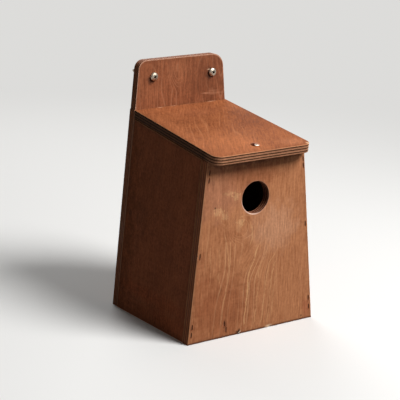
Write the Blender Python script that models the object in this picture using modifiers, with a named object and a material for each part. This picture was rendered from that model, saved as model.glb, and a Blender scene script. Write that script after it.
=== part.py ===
# Small plywood nest box that hangs on a wall.
# The back board rises above the roof as a tab with two screws in it. Two sides lean in towards
# the top between the back and the front board, a floor closes the foot, and the roof slopes down
# to the front. The roof swings up about its rear top arris once the one screw that holds it is drawn.
# Lengths are in metres. Heights are counted from the foot. The part's origin is on the back face,
# at the height of the left wall screw: one empty at the foot carries everything there.

import math

import bmesh
import bpy
from mathutils import Matrix, Vector

# The boards
ply_thickness = 0.009
joint_clearance = 0.0003
cut_overrun = 0.004

foot_width = 0.1516
shoulder_width = 0.11135
body_depth = 0.139
edge_step = 0.0007
tab_height = 0.049
tab_step = 0.0006
tab_left_radius = 0.0095
tab_right_radius = 0.0135

# The roof
roof_rear_height = 0.2045
roof_overhang = 0.01325
roof_slope = math.radians(7.2)
roof_side_inset = 0.00035
roof_corner_radius = 0.0095

# The openings
entrance_diameter = 0.032
entrance_drop = 0.042
drain_diameter = 0.005
drain_inset = 0.019

# The two wall screws
wall_screw_drop = 0.017
wall_screw_spacing = 0.0716
wall_screw_shift = 0.0019
right_screw_drop = 0.0016
wall_shank_diameter = 0.004
wall_shank_length = 0.040
wall_head_height = 0.0031
wall_recess_depth = 0.0018

# The roof screw, whose head is lower
roof_shank_diameter = 0.0032
roof_shank_length = 0.020
roof_head_height = 0.0014
roof_recess_depth = 0.0009

# What both kinds of screw share
screw_head_diameter = 0.0086
recess_length = 0.0046
recess_width = 0.0011

# The staples
staple_crown = 0.0058
staple_wire_width = 0.0012
staple_wire_depth = 0.0010
staple_leg = 0.0150
staple_sink = 0.0006
floor_staple_offset = 0.0310
floor_staple_stagger = 0.0022

# The nail in the front board's foot
nail_head_diameter = 0.0032
nail_head_height = 0.0007
nail_shank_diameter = 0.0016
nail_length = 0.0240
nail_offset = 0.0153
nail_height = 0.0029

# Curves in facets
corner_segments = 6
turned_steps = 24
bore_sides = 40
small_bore_sides = 20
sharp_angle = math.radians(35)

# Shares of the sizes that they follow
dome_shares = ((0.0, 1.0), (0.34, 0.97), (0.62, 0.84), (0.84, 0.62), (1.0, 0.32))
nail_rim_share = 0.32
screw_tip_share = 0.7
nail_tip_share = 0.8
leg_tip_share = 1.2
mid_share = 0.5
weld_share = 0.01
even_height_share = 0.62

# Each row: side (-1 left, 1 right), height of the group on the front board, inset from the
# board's edge in thicknesses, how many staples, and the space between them in crowns.
front_staple_shares = (
    (-1, 0.921, 0.47, 2, 0.29),
    (-1, 0.488, 0.33, 1, 0.0),
    (-1, 0.075, 0.29, 2, 0.36),
    (1, 0.922, 0.26, 2, 0.12),
    (1, 0.566, 0.29, 1, 0.0),
    (1, 0.095, 0.26, 2, 0.59),
)
floor_leg_share = 0.58
floor_staple_gap_share = 0.12
back_staple_height_shares = (0.12, 0.5, 0.86)
back_floor_staple_share = 0.55

# Colours, as linear red, green and blue
roof_colour = (0.36, 0.135, 0.058)
front_colour = (0.40, 0.165, 0.078)
side_colour = (0.22, 0.080, 0.040)
back_colour = (0.29, 0.105, 0.052)
floor_colour = (0.45, 0.27, 0.13)
screw_colour = (0.62, 0.61, 0.58)
staple_colour = (0.12, 0.075, 0.05)
nail_colour = (0.50, 0.46, 0.40)

# Worked out from the sizes above
taper = (foot_width - shoulder_width) / (roof_rear_height * 2)
lean = math.atan(taper)
back_height = roof_rear_height + tab_height
wall_screw_height = back_height - wall_screw_drop
inner_depth = body_depth - (ply_thickness + joint_clearance) * 2
seat_depth = ply_thickness + joint_clearance
roof_pivot_y = -seat_depth
roof_length = (body_depth + roof_overhang - seat_depth) / math.cos(roof_slope)
slope_drop = math.tan(roof_slope)
weld_distance = joint_clearance * weld_share

# The roof screw goes down the slope's normal into the middle of the front board's top edge
front_middle_run = body_depth - ply_thickness / 2 - seat_depth
roof_screw_reach = front_middle_run / math.cos(roof_slope) + seat_depth * slope_drop

# Its tip swings this far forward before it clears that edge
swing_room = (roof_shank_length**2 - ply_thickness**2) / (roof_screw_reach * 2)


def half_width(height):
    """Half of the width across the two sides at a height above the foot."""
    return foot_width / 2 - taper * height


def board_half_width(height, proud):
    """The same for the front board, proud at the foot, and for the back board, set back there."""
    return half_width(height) + proud * (1 - height / (roof_rear_height * even_height_share))


def roof_underside(depth):
    """Height of the roof's lower face at a distance in front of the back face."""
    run = depth + roof_pivot_y
    return roof_rear_height - run * slope_drop - ply_thickness / math.cos(roof_slope)


front_height = roof_underside(body_depth)
entrance_height = front_height - entrance_drop


def clear_scene():
    for item in list(bpy.data.objects):
        bpy.data.objects.remove(item, do_unlink=True)


def new_collection(name):
    collection = bpy.data.collections.new(name)
    bpy.context.scene.collection.children.link(collection)
    return collection


def make_material(name, colour, roughness, metallic):
    material = bpy.data.materials.new(name)
    material.use_nodes = True
    shader = material.node_tree.nodes["Principled BSDF"]
    shader.inputs["Base Color"].default_value = (*colour, 1)
    shader.inputs["Roughness"].default_value = roughness
    shader.inputs["Metallic"].default_value = metallic
    material.diffuse_color = (*colour, 1)
    return material


def add_part(name, mesh, material, parent, place=None):
    """One named sub-part, placed by its parent and its own location and rotation."""
    part = bpy.data.objects.new(name, mesh)
    parts.objects.link(part)
    part.data.materials.clear()
    part.data.materials.append(material)
    part.parent = parent
    if place is not None:
        part.matrix_basis = place
    return part


def add_cutter(name, mesh, parent, place=None):
    cutter = bpy.data.objects.new(name, mesh)
    cutters.objects.link(cutter)
    cutter.parent = parent
    if place is not None:
        cutter.matrix_basis = place
    cutter.hide_render = True
    cutter.display_type = "WIRE"
    return cutter


def cut(part, cutter):
    """Takes a cutter out of a part, in one Boolean together with the part's other cutters."""
    if not part.modifiers:
        modifier = part.modifiers.new("cuts", "BOOLEAN")
        modifier.operation = "DIFFERENCE"
        modifier.solver = "EXACT"
        modifier.operand_type = "COLLECTION"
        modifier.collection = bpy.data.collections.new(part.name + "_cutters")
    part.modifiers[0].collection.objects.link(cutter)


def box_mesh(name, size, centre):
    mesh = bpy.data.meshes.new(name)
    work = bmesh.new()
    bmesh.ops.create_cube(work, size=1)
    bmesh.ops.scale(work, vec=Vector(size), verts=work.verts)
    bmesh.ops.translate(work, vec=Vector(centre), verts=work.verts)
    work.to_mesh(mesh)
    work.free()
    return mesh


def rod_mesh(name, diameter, length, sides):
    """A round bar centred on its own axis, for boring holes."""
    mesh = bpy.data.meshes.new(name)
    work = bmesh.new()
    bmesh.ops.create_cone(
        work, cap_ends=True, segments=sides, radius1=diameter / 2, radius2=diameter / 2, depth=length
    )
    for face in work.faces:
        face.smooth = len(face.verts) < sides
    work.to_mesh(mesh)
    work.free()
    return mesh


def outline_mesh(name, points, thickness):
    """A flat board cut to an outline in X and Y, half its thickness on each side of Z zero."""
    curve = bpy.data.curves.new(name + "_outline", "CURVE")
    curve.dimensions = "2D"
    curve.fill_mode = "BOTH"
    curve.extrude = thickness / 2
    spline = curve.splines.new("POLY")
    spline.points.add(len(points) - 1)
    for target, (x, y) in zip(spline.points, points):
        target.co = (x, y, 0, 1)
    spline.use_cyclic_u = True
    guide = bpy.data.objects.new(name + "_guide", curve)
    bpy.context.scene.collection.objects.link(guide)
    graph = bpy.context.evaluated_depsgraph_get()
    mesh = bpy.data.meshes.new_from_object(guide.evaluated_get(graph))
    mesh.name = name
    bpy.data.objects.remove(guide, do_unlink=True)
    work = bmesh.new()
    work.from_mesh(mesh)
    bmesh.ops.remove_doubles(work, verts=work.verts, dist=weld_distance)
    bmesh.ops.recalc_face_normals(work, faces=work.faces)
    work.to_mesh(mesh)
    work.free()
    return mesh


def rounded(before, corner, after, radius):
    """Points of the arc that rounds one corner of an outline."""
    corner = Vector(corner)
    to_before = (Vector(before) - corner).normalized()
    to_after = (Vector(after) - corner).normalized()
    half_angle = to_before.angle(to_after) / 2
    centre = corner + (to_before + to_after).normalized() * (radius / math.sin(half_angle))
    start = corner + to_before * (radius / math.tan(half_angle)) - centre
    end = corner + to_after * (radius / math.tan(half_angle)) - centre
    turn = start.angle_signed(end)
    arc = []
    for step in range(corner_segments + 1):
        share = step / corner_segments
        arc.append(centre + Matrix.Rotation(-turn * share, 2) @ start)
    return [(point.x, point.y) for point in arc]


def upright(y):
    """Stands an outline up: its Y becomes height, its thickness lies along the depth."""
    return Matrix.Translation((0, y, 0)) @ Matrix.Rotation(math.pi / 2, 4, "X")


def turned_mesh(name, profile):
    """Turns a profile that runs down the outer side of the shape, from its top to its tip."""
    line = bpy.data.meshes.new(name + "_profile")
    edges = [(index, index + 1) for index in range(len(profile) - 1)]
    line.from_pydata([(radius, 0, height) for radius, height in profile], edges, [])
    guide = bpy.data.objects.new(name + "_guide", line)
    bpy.context.scene.collection.objects.link(guide)
    modifier = guide.modifiers.new("turned", "SCREW")
    modifier.axis = "Z"
    modifier.angle = math.tau
    modifier.steps = turned_steps
    modifier.render_steps = turned_steps
    modifier.use_merge_vertices = True
    modifier.merge_threshold = weld_distance
    graph = bpy.context.evaluated_depsgraph_get()
    mesh = bpy.data.meshes.new_from_object(guide.evaluated_get(graph))
    mesh.name = name
    bpy.data.objects.remove(guide, do_unlink=True)
    mesh.shade_smooth()
    mesh.set_sharp_from_angle(angle=sharp_angle)
    return mesh


def screw_profile(shank_diameter, shank_length, head_height):
    """Domed head above Z zero, shank and point below it."""
    head_radius = screw_head_diameter / 2
    shank_radius = shank_diameter / 2
    profile = [(head_radius * out, head_height * up) for out, up in dome_shares]
    profile.append((head_radius, 0))
    profile.append((shank_radius, 0))
    profile.append((shank_radius, -(shank_length - shank_diameter * screw_tip_share)))
    profile.append((0, -shank_length))
    return profile


def add_screw(name, shank_diameter, shank_length, head_height, recess_depth, parent, place):
    """A pan-head screw whose head seats at the place given, with a cross recess in the head."""
    mesh = turned_mesh(name, screw_profile(shank_diameter, shank_length, head_height))
    screw = add_part(name, mesh, screw_metal, parent, place)
    recess_height = recess_depth + cut_overrun
    recess_centre = (0, 0, head_height - recess_depth + recess_height / 2)
    across = (recess_length, recess_width, recess_height)
    along = (recess_width, recess_length, recess_height)
    for suffix, size in (("across", across), ("along", along)):
        recess = box_mesh(name + "_recess_" + suffix, size, recess_centre)
        cut(screw, add_cutter(name + "_recess_" + suffix, recess, parent, place))


def staple_outline():
    """The flat shape of a staple: crown along X at Y zero, pointed legs down."""
    outer = staple_crown / 2
    inner = outer - staple_wire_depth
    middle = outer - staple_wire_depth / 2
    shoulder = -(staple_leg - staple_wire_depth * leg_tip_share)
    return [
        (-outer, 0), (-outer, shoulder), (-middle, -staple_leg), (-inner, shoulder),
        (-inner, -staple_wire_depth), (inner, -staple_wire_depth),
        (inner, shoulder), (middle, -staple_leg), (outer, shoulder), (outer, 0),
    ]


def slot_outline():
    """The slot that a staple leaves: its shape with clearance, open out past the board's face."""
    outer = staple_crown / 2 + joint_clearance
    inner = staple_crown / 2 - staple_wire_depth - joint_clearance
    bridge = -(staple_wire_depth + joint_clearance)
    bottom = -(staple_leg + joint_clearance)
    mouth = staple_sink + cut_overrun
    return [
        (-outer, mouth), (-outer, bottom), (-inner, bottom), (-inner, bridge),
        (inner, bridge), (inner, bottom), (outer, bottom), (outer, mouth),
    ]


def facing(outward, crown_along, centre):
    """Placement with local Y pointing outward and local X along the crown."""
    across = crown_along.cross(outward)
    turned = Matrix((crown_along, outward, across)).transposed().to_4x4()
    return Matrix.Translation(centre) @ turned


def add_staple(name, outward, crown_along, centre, boards):
    """A staple driven just below the face at centre, and the slots for it in the boards."""
    seat = Vector(centre) - outward * staple_sink
    place = facing(outward, crown_along, seat)
    mesh = outline_mesh(name, staple_outline(), staple_wire_width)
    add_part(name, mesh, staple_metal, foot, place)
    slot = outline_mesh(name + "_slot", slot_outline(), staple_wire_width + joint_clearance * 2)
    cutter = add_cutter(name + "_slot", slot, foot, place)
    for board in boards:
        cut(board, cutter)


def make_back_panel():
    shoulder = roof_rear_height
    lower = board_half_width(0, -edge_step)
    outer = board_half_width(shoulder, -edge_step)
    inner = outer - tab_step
    top = board_half_width(back_height, -edge_step) - tab_step
    top_left = (-top, back_height)
    top_right = (top, back_height)
    points = [(-lower, 0), (lower, 0), (outer, shoulder), (inner, shoulder)]
    points += rounded((inner, shoulder), top_right, top_left, tab_right_radius)
    points += rounded(top_right, top_left, (-inner, shoulder), tab_left_radius)
    points += [(-inner, shoulder), (-outer, shoulder)]
    mesh = outline_mesh("back_panel", points, ply_thickness)
    panel = add_part("back_panel", mesh, back_wood, foot, upright(-ply_thickness / 2))
    for name, (x, z) in wall_screw_places().items():
        bore = rod_mesh(
            name + "_bore", wall_shank_diameter + joint_clearance * 2,
            ply_thickness + cut_overrun * 2, small_bore_sides,
        )
        place = Matrix.Translation((x, 0, z)) @ upright(-ply_thickness / 2)
        cut(panel, add_cutter(name + "_bore", bore, foot, place))
    return panel


def wall_screw_places():
    left = (wall_screw_shift - wall_screw_spacing / 2, wall_screw_height)
    right = (wall_screw_shift + wall_screw_spacing / 2, wall_screw_height - right_screw_drop)
    return {"wall_screw_left": left, "wall_screw_right": right}


def make_wall_screws():
    for name, (x, z) in wall_screw_places().items():
        seat = Matrix.Translation((x, -seat_depth, z))
        place = seat @ Matrix.Rotation(math.pi / 2, 4, "X")
        add_screw(
            name, wall_shank_diameter, wall_shank_length, wall_head_height, wall_recess_depth,
            foot, place,
        )


def make_roof_plane_cutter():
    """A block whose lower face lies just under the roof: it trims the sides and the front."""
    size = (foot_width * 2, roof_length * 2, roof_rear_height)
    centre = (0, -roof_length / 2, roof_rear_height / 2 - seat_depth)
    return add_cutter("roof_plane", box_mesh("roof_plane", size, centre), roof_hinge)


def make_foot_plane_cutter():
    size = (foot_width * 2, body_depth * 2, body_depth)
    centre = (0, -body_depth / 2, -body_depth / 2)
    return add_cutter("foot_plane", box_mesh("foot_plane", size, centre), foot)


def make_side_panel(name, side):
    """A board that leans in, trimmed level at the foot and to the roof's slope at the top."""
    length = roof_rear_height / math.cos(lean) + cut_overrun
    size = (ply_thickness, inner_depth, length)
    centre = (-side * ply_thickness / 2, -body_depth / 2, length / 2 - cut_overrun)
    hinge_line = Matrix.Translation((side * half_width(0), 0, 0))
    place = hinge_line @ Matrix.Rotation(-side * lean, 4, "Y")
    panel = add_part(name, box_mesh(name, size, centre), side_wood, foot, place)
    cut(panel, foot_plane)
    cut(panel, roof_plane)
    return panel


def make_front_panel():
    lower = board_half_width(0, edge_step)
    top = board_half_width(roof_rear_height, edge_step)
    points = [(-lower, 0), (lower, 0), (top, roof_rear_height), (-top, roof_rear_height)]
    mesh = outline_mesh("front_panel", points, ply_thickness)
    middle = upright(-(body_depth - ply_thickness / 2))
    panel = add_part("front_panel", mesh, front_wood, foot, middle)
    cut(panel, roof_plane)
    entrance = rod_mesh("entrance_bore", entrance_diameter, ply_thickness + cut_overrun * 2, bore_sides)
    place = Matrix.Translation((0, 0, entrance_height)) @ middle
    cut(panel, add_cutter("entrance_bore", entrance, foot, place))
    cut(panel, make_swing_slot())
    return panel


def make_swing_slot():
    """Room in the front board's top edge for the roof screw's shank as the roof swings up."""
    bore = roof_shank_diameter + joint_clearance * 2
    depth = roof_shank_length + joint_clearance
    size = (bore, bore + swing_room, depth)
    centre = (0, -(roof_screw_reach + swing_room / 2), -depth / 2)
    return add_cutter("swing_slot", box_mesh("swing_slot", size, centre), roof_hinge)


def make_floor_panel():
    """Fits between the four walls, its side edges planed to the lean of the sides."""
    wall = ply_thickness / math.cos(lean) + joint_clearance
    lower = half_width(0) - wall
    upper = half_width(ply_thickness) - wall
    points = [(-lower, 0), (lower, 0), (upper, ply_thickness), (-upper, ply_thickness)]
    mesh = outline_mesh("floor_panel", points, inner_depth)
    panel = add_part("floor_panel", mesh, floor_wood, foot, upright(-body_depth / 2))
    x = upper - drain_inset
    y = inner_depth / 2 - drain_inset
    for index, (across, along) in enumerate(((-x, -y), (x, -y), (-x, y), (x, y))):
        name = "drain_bore_" + str(index + 1)
        bore = rod_mesh(name, drain_diameter, ply_thickness + cut_overrun * 2, small_bore_sides)
        place = Matrix.Translation((across, along - body_depth / 2, ply_thickness / 2))
        cut(panel, add_cutter(name, bore, foot, place))
    return panel


def roof_half_width(reach):
    """Half of the roof's width at a distance down the slope, a little inside the body's."""
    depth = reach * math.cos(roof_slope) - roof_pivot_y
    return half_width(roof_underside(depth)) - roof_side_inset


def make_roof_panel():
    """A sloping board hung on its rear top arris, its rear edge planed upright."""
    behind = ply_thickness * slope_drop + cut_overrun
    rear_left = (-roof_half_width(-behind), behind)
    rear_right = (roof_half_width(-behind), behind)
    front_left = (-roof_half_width(roof_length), -roof_length)
    front_right = (roof_half_width(roof_length), -roof_length)
    points = [rear_right, rear_left]
    points += rounded(rear_left, front_left, front_right, roof_corner_radius)
    points += rounded(front_left, front_right, rear_right, roof_corner_radius)
    mesh = outline_mesh("roof_panel", points, ply_thickness)
    place = Matrix.Translation((0, 0, -ply_thickness / 2))
    panel = add_part("roof_panel", mesh, roof_wood, roof_hinge, place)
    size = (foot_width * 2, body_depth, body_depth)
    centre = (0, roof_pivot_y + body_depth / 2, roof_rear_height)
    cut(panel, add_cutter("rear_plane", box_mesh("rear_plane", size, centre), foot))
    bore = rod_mesh(
        "roof_screw_bore", roof_shank_diameter + joint_clearance * 2,
        ply_thickness * 2 + cut_overrun * 2, small_bore_sides,
    )
    seat = Matrix.Translation((0, -roof_screw_reach, 0))
    cut(panel, add_cutter("roof_screw_bore", bore, roof_hinge, seat))
    return panel


def make_roof_screw():
    place = Matrix.Translation((0, -roof_screw_reach, joint_clearance))
    add_screw(
        "roof_screw", roof_shank_diameter, roof_shank_length, roof_head_height, roof_recess_depth,
        roof_hinge, place,
    )


def make_front_staples(front, left, right):
    """Groups down both edges of the front board, each in line with the edge."""
    names = {-1: "front_staple_left_", 1: "front_staple_right_"}
    boards = {-1: [front, left], 1: [front, right]}
    count = {-1: 0, 1: 0}
    outward = Vector((0, -1, 0))
    for side, height_share, inset_share, staples, gap_share in front_staple_shares:
        pitch = staple_crown * (1 + gap_share)
        edge = Vector((-side * math.sin(lean), 0, math.cos(lean)))
        for index in range(staples):
            height = front_height * height_share + pitch * ((staples - 1) / 2 - index)
            x = side * (half_width(height) - ply_thickness * inset_share)
            count[side] += 1
            name = names[side] + str(count[side])
            add_staple(name, outward, edge, (x, -body_depth, height), boards[side])


def make_floor_staples(front, floor):
    """Two staples one above the other: the upper one passed over the floor."""
    outward = Vector((0, -1, 0))
    leg_spread = (staple_crown - staple_wire_depth) / 2
    lower = ply_thickness * floor_leg_share + leg_spread
    pitch = staple_crown * (1 + floor_staple_gap_share)
    for index in range(2):
        name = "front_staple_floor_" + str(index + 1)
        offset = floor_staple_offset + floor_staple_stagger * index
        centre = (-offset, -body_depth, lower + pitch * index)
        add_staple(name, outward, Vector((0, 0, 1)), centre, [front, floor])


def make_back_staples(back, left, right, floor):
    """From behind: three into each side board and two into the floor's edge."""
    outward = Vector((0, 1, 0))
    for side, word, board in ((-1, "left", left), (1, "right", right)):
        edge = Vector((-side * math.sin(lean), 0, math.cos(lean)))
        for index, share in enumerate(back_staple_height_shares):
            height = roof_rear_height * share
            x = side * (half_width(height) - ply_thickness * mid_share)
            name = "back_staple_" + word + "_" + str(index + 1)
            add_staple(name, outward, edge, (x, 0, height), [back, board])
        x = side * half_width(0) * back_floor_staple_share
        name = "back_staple_floor_" + word
        centre = (x, 0, ply_thickness * mid_share)
        add_staple(name, outward, Vector((1, 0, 0)), centre, [back, floor])


def make_floor_nail(front, floor):
    """A small nail through the front board's foot into the floor's edge."""
    head_radius = nail_head_diameter / 2
    shank_radius = nail_shank_diameter / 2
    profile = [
        (0, nail_head_height),
        (head_radius * (1 - nail_rim_share), nail_head_height),
        (head_radius, nail_head_height * nail_rim_share),
        (head_radius, 0),
        (shank_radius, 0),
        (shank_radius, -(nail_length - nail_shank_diameter * nail_tip_share)),
        (0, -nail_length),
    ]
    seat = Matrix.Translation((-nail_offset, -(body_depth + joint_clearance), nail_height))
    place = seat @ Matrix.Rotation(math.pi / 2, 4, "X")
    add_part("floor_nail", turned_mesh("floor_nail", profile), nail_metal, foot, place)
    bore = rod_mesh(
        "floor_nail_bore", nail_shank_diameter + joint_clearance * 2,
        (nail_length + joint_clearance) * 2, small_bore_sides,
    )
    cutter = add_cutter("floor_nail_bore", bore, foot, place)
    cut(front, cutter)
    cut(floor, cutter)


def add_empty(name, parent, place):
    empty = bpy.data.objects.new(name, None)
    bpy.context.scene.collection.objects.link(empty)
    empty.parent = parent
    empty.matrix_basis = place
    return empty


clear_scene()
parts = new_collection("nest_box")
cutters = new_collection("nest_box_cutters")

roof_wood = make_material("roof_wood", roof_colour, 0.55, 0)
front_wood = make_material("front_wood", front_colour, 0.6, 0)
side_wood = make_material("side_wood", side_colour, 0.6, 0)
back_wood = make_material("back_wood", back_colour, 0.6, 0)
floor_wood = make_material("floor_wood", floor_colour, 0.75, 0)
screw_metal = make_material("screw_metal", screw_colour, 0.3, 1)
staple_metal = make_material("staple_metal", staple_colour, 0.5, 1)
nail_metal = make_material("nail_metal", nail_colour, 0.4, 1)

foot = add_empty("foot", None, Matrix.Translation((0, 0, -wall_screw_height)))
hinge_place = Matrix.Translation((0, roof_pivot_y, roof_rear_height)) @ Matrix.Rotation(roof_slope, 4, "X")
roof_hinge = add_empty("roof_hinge", foot, hinge_place)
roof_plane = make_roof_plane_cutter()
foot_plane = make_foot_plane_cutter()

back_panel = make_back_panel()
left_side = make_side_panel("left_side_panel", -1)
right_side = make_side_panel("right_side_panel", 1)
front_panel = make_front_panel()
floor_panel = make_floor_panel()
roof_panel = make_roof_panel()
make_wall_screws()
make_roof_screw()
make_front_staples(front_panel, left_side, right_side)
make_floor_staples(front_panel, floor_panel)
make_back_staples(back_panel, left_side, right_side, floor_panel)
make_floor_nail(front_panel, floor_panel)
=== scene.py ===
import math
import random

import bmesh
import bpy
from mathutils import Matrix, Vector, noise


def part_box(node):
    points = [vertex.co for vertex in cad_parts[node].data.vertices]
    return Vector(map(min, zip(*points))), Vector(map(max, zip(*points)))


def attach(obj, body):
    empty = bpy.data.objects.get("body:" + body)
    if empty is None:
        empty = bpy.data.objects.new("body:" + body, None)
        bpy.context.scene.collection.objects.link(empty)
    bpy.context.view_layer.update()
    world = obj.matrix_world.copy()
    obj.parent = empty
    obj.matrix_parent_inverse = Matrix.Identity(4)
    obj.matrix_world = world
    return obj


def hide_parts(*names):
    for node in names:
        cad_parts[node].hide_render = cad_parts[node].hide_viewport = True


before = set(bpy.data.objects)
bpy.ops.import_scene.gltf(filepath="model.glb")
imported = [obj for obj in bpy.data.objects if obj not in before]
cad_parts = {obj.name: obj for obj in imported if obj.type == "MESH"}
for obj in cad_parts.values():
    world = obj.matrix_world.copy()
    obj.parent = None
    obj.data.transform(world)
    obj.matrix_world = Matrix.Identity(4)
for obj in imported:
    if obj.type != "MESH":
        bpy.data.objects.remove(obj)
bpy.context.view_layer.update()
scene = bpy.context.scene
print("frame loaded")

# What every board of the box is cut to. Lengths in metres, heights from the foot.
carcass = {
    "footLevel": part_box("back_panel")[0].z,
    "ply": 0.009,
    "jointGap": 0.0003,
    "footWidth": 0.1516,
    "shoulderWidth": 0.11135,
    "shoulderHeight": 0.2045,
    "bodyDepth": 0.139,
    "edgeStep": 0.0007,
    "evenHeight": 0.12679,
    "roofOverhang": 0.01325,
    "roofSlope": math.radians(7.2),
}
ply = carcass["ply"]
slope = carcass["roofSlope"]
footLevel = carcass["footLevel"]
seatDepth = ply + carcass["jointGap"]
taper = (carcass["footWidth"] - carcass["shoulderWidth"]) / (carcass["shoulderHeight"] * 2)
lean = math.atan(taper)


def halfWidth(height):
    return carcass["footWidth"] / 2 - taper * height


def boardHalfWidth(height, proud):
    return halfWidth(height) + proud * (1 - height / carcass["evenHeight"])


# Nodes: a wrapped socket does sums, a graph adds every other node


class Wire:
    def __init__(self, graph, node, socket):
        self.graph = graph
        self.node = node
        self.socket = socket

    def out(self, name):
        return Wire(self.graph, self.node, self.node.outputs[name])

    def __add__(self, other):
        return self.graph.maths("ADD", self, other)

    def __sub__(self, other):
        return self.graph.maths("SUBTRACT", self, other)

    def __rsub__(self, other):
        return self.graph.maths("SUBTRACT", other, self)

    def __mul__(self, other):
        return self.graph.maths("MULTIPLY", self, other)

    def __truediv__(self, other):
        return self.graph.maths("DIVIDE", self, other)

    __radd__ = __add__
    __rmul__ = __mul__


class Graph:
    def __init__(self, tree):
        self.tree = tree

    def add(self, kind, settings=None, sockets=None, out=0):
        node = self.tree.nodes.new(kind)
        for key, value in (settings or {}).items():
            if key == "stops":
                self.setStops(node.color_ramp, value)
            else:
                setattr(node, key, value)
        for key, value in (sockets or {}).items():
            if isinstance(value, Wire):
                self.tree.links.new(value.socket, node.inputs[key])
            else:
                node.inputs[key].default_value = value
        socket = node.outputs[out] if node.outputs else None
        return Wire(self, node, socket)

    def link(self, source, target, key):
        # one more link, for a socket that takes several
        self.tree.links.new(source.socket, target.node.inputs[key])

    def setStops(self, ramp, stops):
        while len(ramp.elements) < len(stops):
            ramp.elements.new(1)
        for element, (place, shade) in zip(ramp.elements, stops):
            element.position = place
            element.color = (shade, shade, shade, 1)

    def maths(self, operation, first, second=None):
        sockets = {0: first} if second is None else {0: first, 1: second}
        return self.add("ShaderNodeMath", {"operation": operation}, sockets)

    def vector(self, operation, first, second=None, out=0):
        sockets = {0: first} if second is None else {0: first, 1: second}
        return self.add("ShaderNodeVectorMath", {"operation": operation}, sockets, out)

    def combine(self, x, y, z):
        return self.add("ShaderNodeCombineXYZ", {}, {0: x, 1: y, 2: z})

    def split(self, vector):
        parts = self.add("ShaderNodeSeparateXYZ", {}, {0: vector})
        return parts.out("X"), parts.out("Y"), parts.out("Z")

    def noise(self, vector, scale=1.0, detail=2.0, rough=0.5):
        sockets = {"Vector": vector, "Scale": scale, "Detail": detail, "Roughness": rough}
        return self.add("ShaderNodeTexNoise", {}, sockets)

    def ease(self, value, low, high, least=0.0, most=1.0):
        sockets = {"Value": value, "From Min": low, "From Max": high, "To Min": least, "To Max": most}
        return self.add("ShaderNodeMapRange", {"interpolation_type": "SMOOTHSTEP"}, sockets)

    def ramp(self, value, low, high):
        sockets = {"Value": value, "From Min": low, "From Max": high}
        return self.add("ShaderNodeMapRange", {}, sockets)

    def mix(self, share, first, second):
        return self.add("ShaderNodeMix", {"data_type": "RGBA"}, {0: share, 6: first, 7: second}, 2)

    def length(self, vector):
        return self.vector("LENGTH", vector, None, "Value")

    def shade(self, colour, strength):
        return self.add("ShaderNodeVectorMath", {"operation": "SCALE"}, {0: colour, "Scale": strength})

    def bump(self, height, strength, distance):
        sockets = {"Strength": strength, "Distance": distance, "Height": height}
        return self.add("ShaderNodeBump", {}, sockets, "Normal")


def newMaterial(name):
    material = bpy.data.materials.new(name)
    material.use_nodes = True
    tree = material.node_tree
    tree.nodes.clear()
    return material, Graph(tree)


def endMaterial(graph, shader):
    graph.add("ShaderNodeOutputMaterial", {}, {"Surface": shader})


# Meshes

weld = {"solids": 0.0000005, "tree": 0.000002, "fasteners": 0.0000002}
sharp = {"boards": 38, "turned": 32, "staples": 40}  # degrees


def lineMesh(name, points, closed=False):
    mesh = bpy.data.meshes.new(name)
    edges = [(index, index + 1) for index in range(len(points) - 1)]
    if closed:
        edges.append((len(points) - 1, 0))
    mesh.from_pydata([tuple(point) for point in points], edges, [])
    return mesh


def giveVectors(mesh, name, vectors):
    layer = mesh.attributes.new(name, "FLOAT_VECTOR", "POINT")
    layer.data.foreach_set("vector", [part for vector in vectors for part in vector])


def addObject(name, data):
    added = bpy.data.objects.new(name, data)
    scene.collection.objects.link(added)
    return added


def holderOf(mesh):
    return addObject(mesh.name + "Holder", mesh)


def plainMesh(holder, name):
    # what the holder's modifiers make, as a mesh of its own
    graph = bpy.context.evaluated_depsgraph_get()
    mesh = bpy.data.meshes.new_from_object(holder.evaluated_get(graph), depsgraph=graph)
    mesh.name = name
    holder.modifiers.clear()
    bpy.data.objects.remove(holder)
    return mesh


def grow(name, tree, source, values):
    # runs a Geometry Nodes tree on a mesh; the meshes among its values get holders meanwhile
    holder, helpers = holderOf(source), []
    modifier = holder.modifiers.new(tree.name, "NODES")
    modifier.node_group = tree
    for item in tree.interface.items_tree:
        if item.name in values:
            value = values[item.name]
            if isinstance(value, bpy.types.Mesh):
                value = holderOf(value)
                helpers.append(value)
            modifier[item.identifier] = value
    mesh = plainMesh(holder, name)
    for helper in helpers:
        bpy.data.objects.remove(helper)
    return mesh


def meshOf(name, verts, faces):
    mesh = bpy.data.meshes.new(name)
    mesh.from_pydata(verts, [], faces)
    return mesh


def joined(name, meshes):
    work = bmesh.new()
    for mesh in meshes:
        work.from_mesh(mesh)
    mesh = bpy.data.meshes.new(name)
    work.to_mesh(mesh)
    work.free()
    return mesh


def ringFaces(rows, sides):
    # the faces round a stack of rings, and the two that close its ends
    faces = [tuple(range(sides))]
    for row in range(rows - 1):
        for index in range(sides):
            follow = (index + 1) % sides
            near, far = row * sides, (row + 1) * sides
            faces.append((near + index, near + follow, far + follow, far + index))
    faces.append(tuple(range((rows - 1) * sides, rows * sides)))
    return faces


def outward(mesh, distance=weld["solids"]):
    # welds what touches and points every face out
    work = bmesh.new()
    work.from_mesh(mesh)
    bmesh.ops.remove_doubles(work, verts=work.verts, dist=distance)
    bmesh.ops.recalc_face_normals(work, faces=work.faces)
    work.to_mesh(mesh)
    work.free()
    return mesh


def carve(mesh, cutters):
    # takes the cutters, which don't touch each other, out of a solid
    cutter = holderOf(joined(mesh.name + "Cutters", cutters))
    holder = holderOf(mesh)
    modifier = holder.modifiers.new("carve", "BOOLEAN")
    modifier.operation = "DIFFERENCE"
    modifier.solver = "EXACT"
    modifier.object = cutter
    carved = plainMesh(holder, mesh.name)
    bpy.data.objects.remove(cutter)
    return outward(carved)


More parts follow.
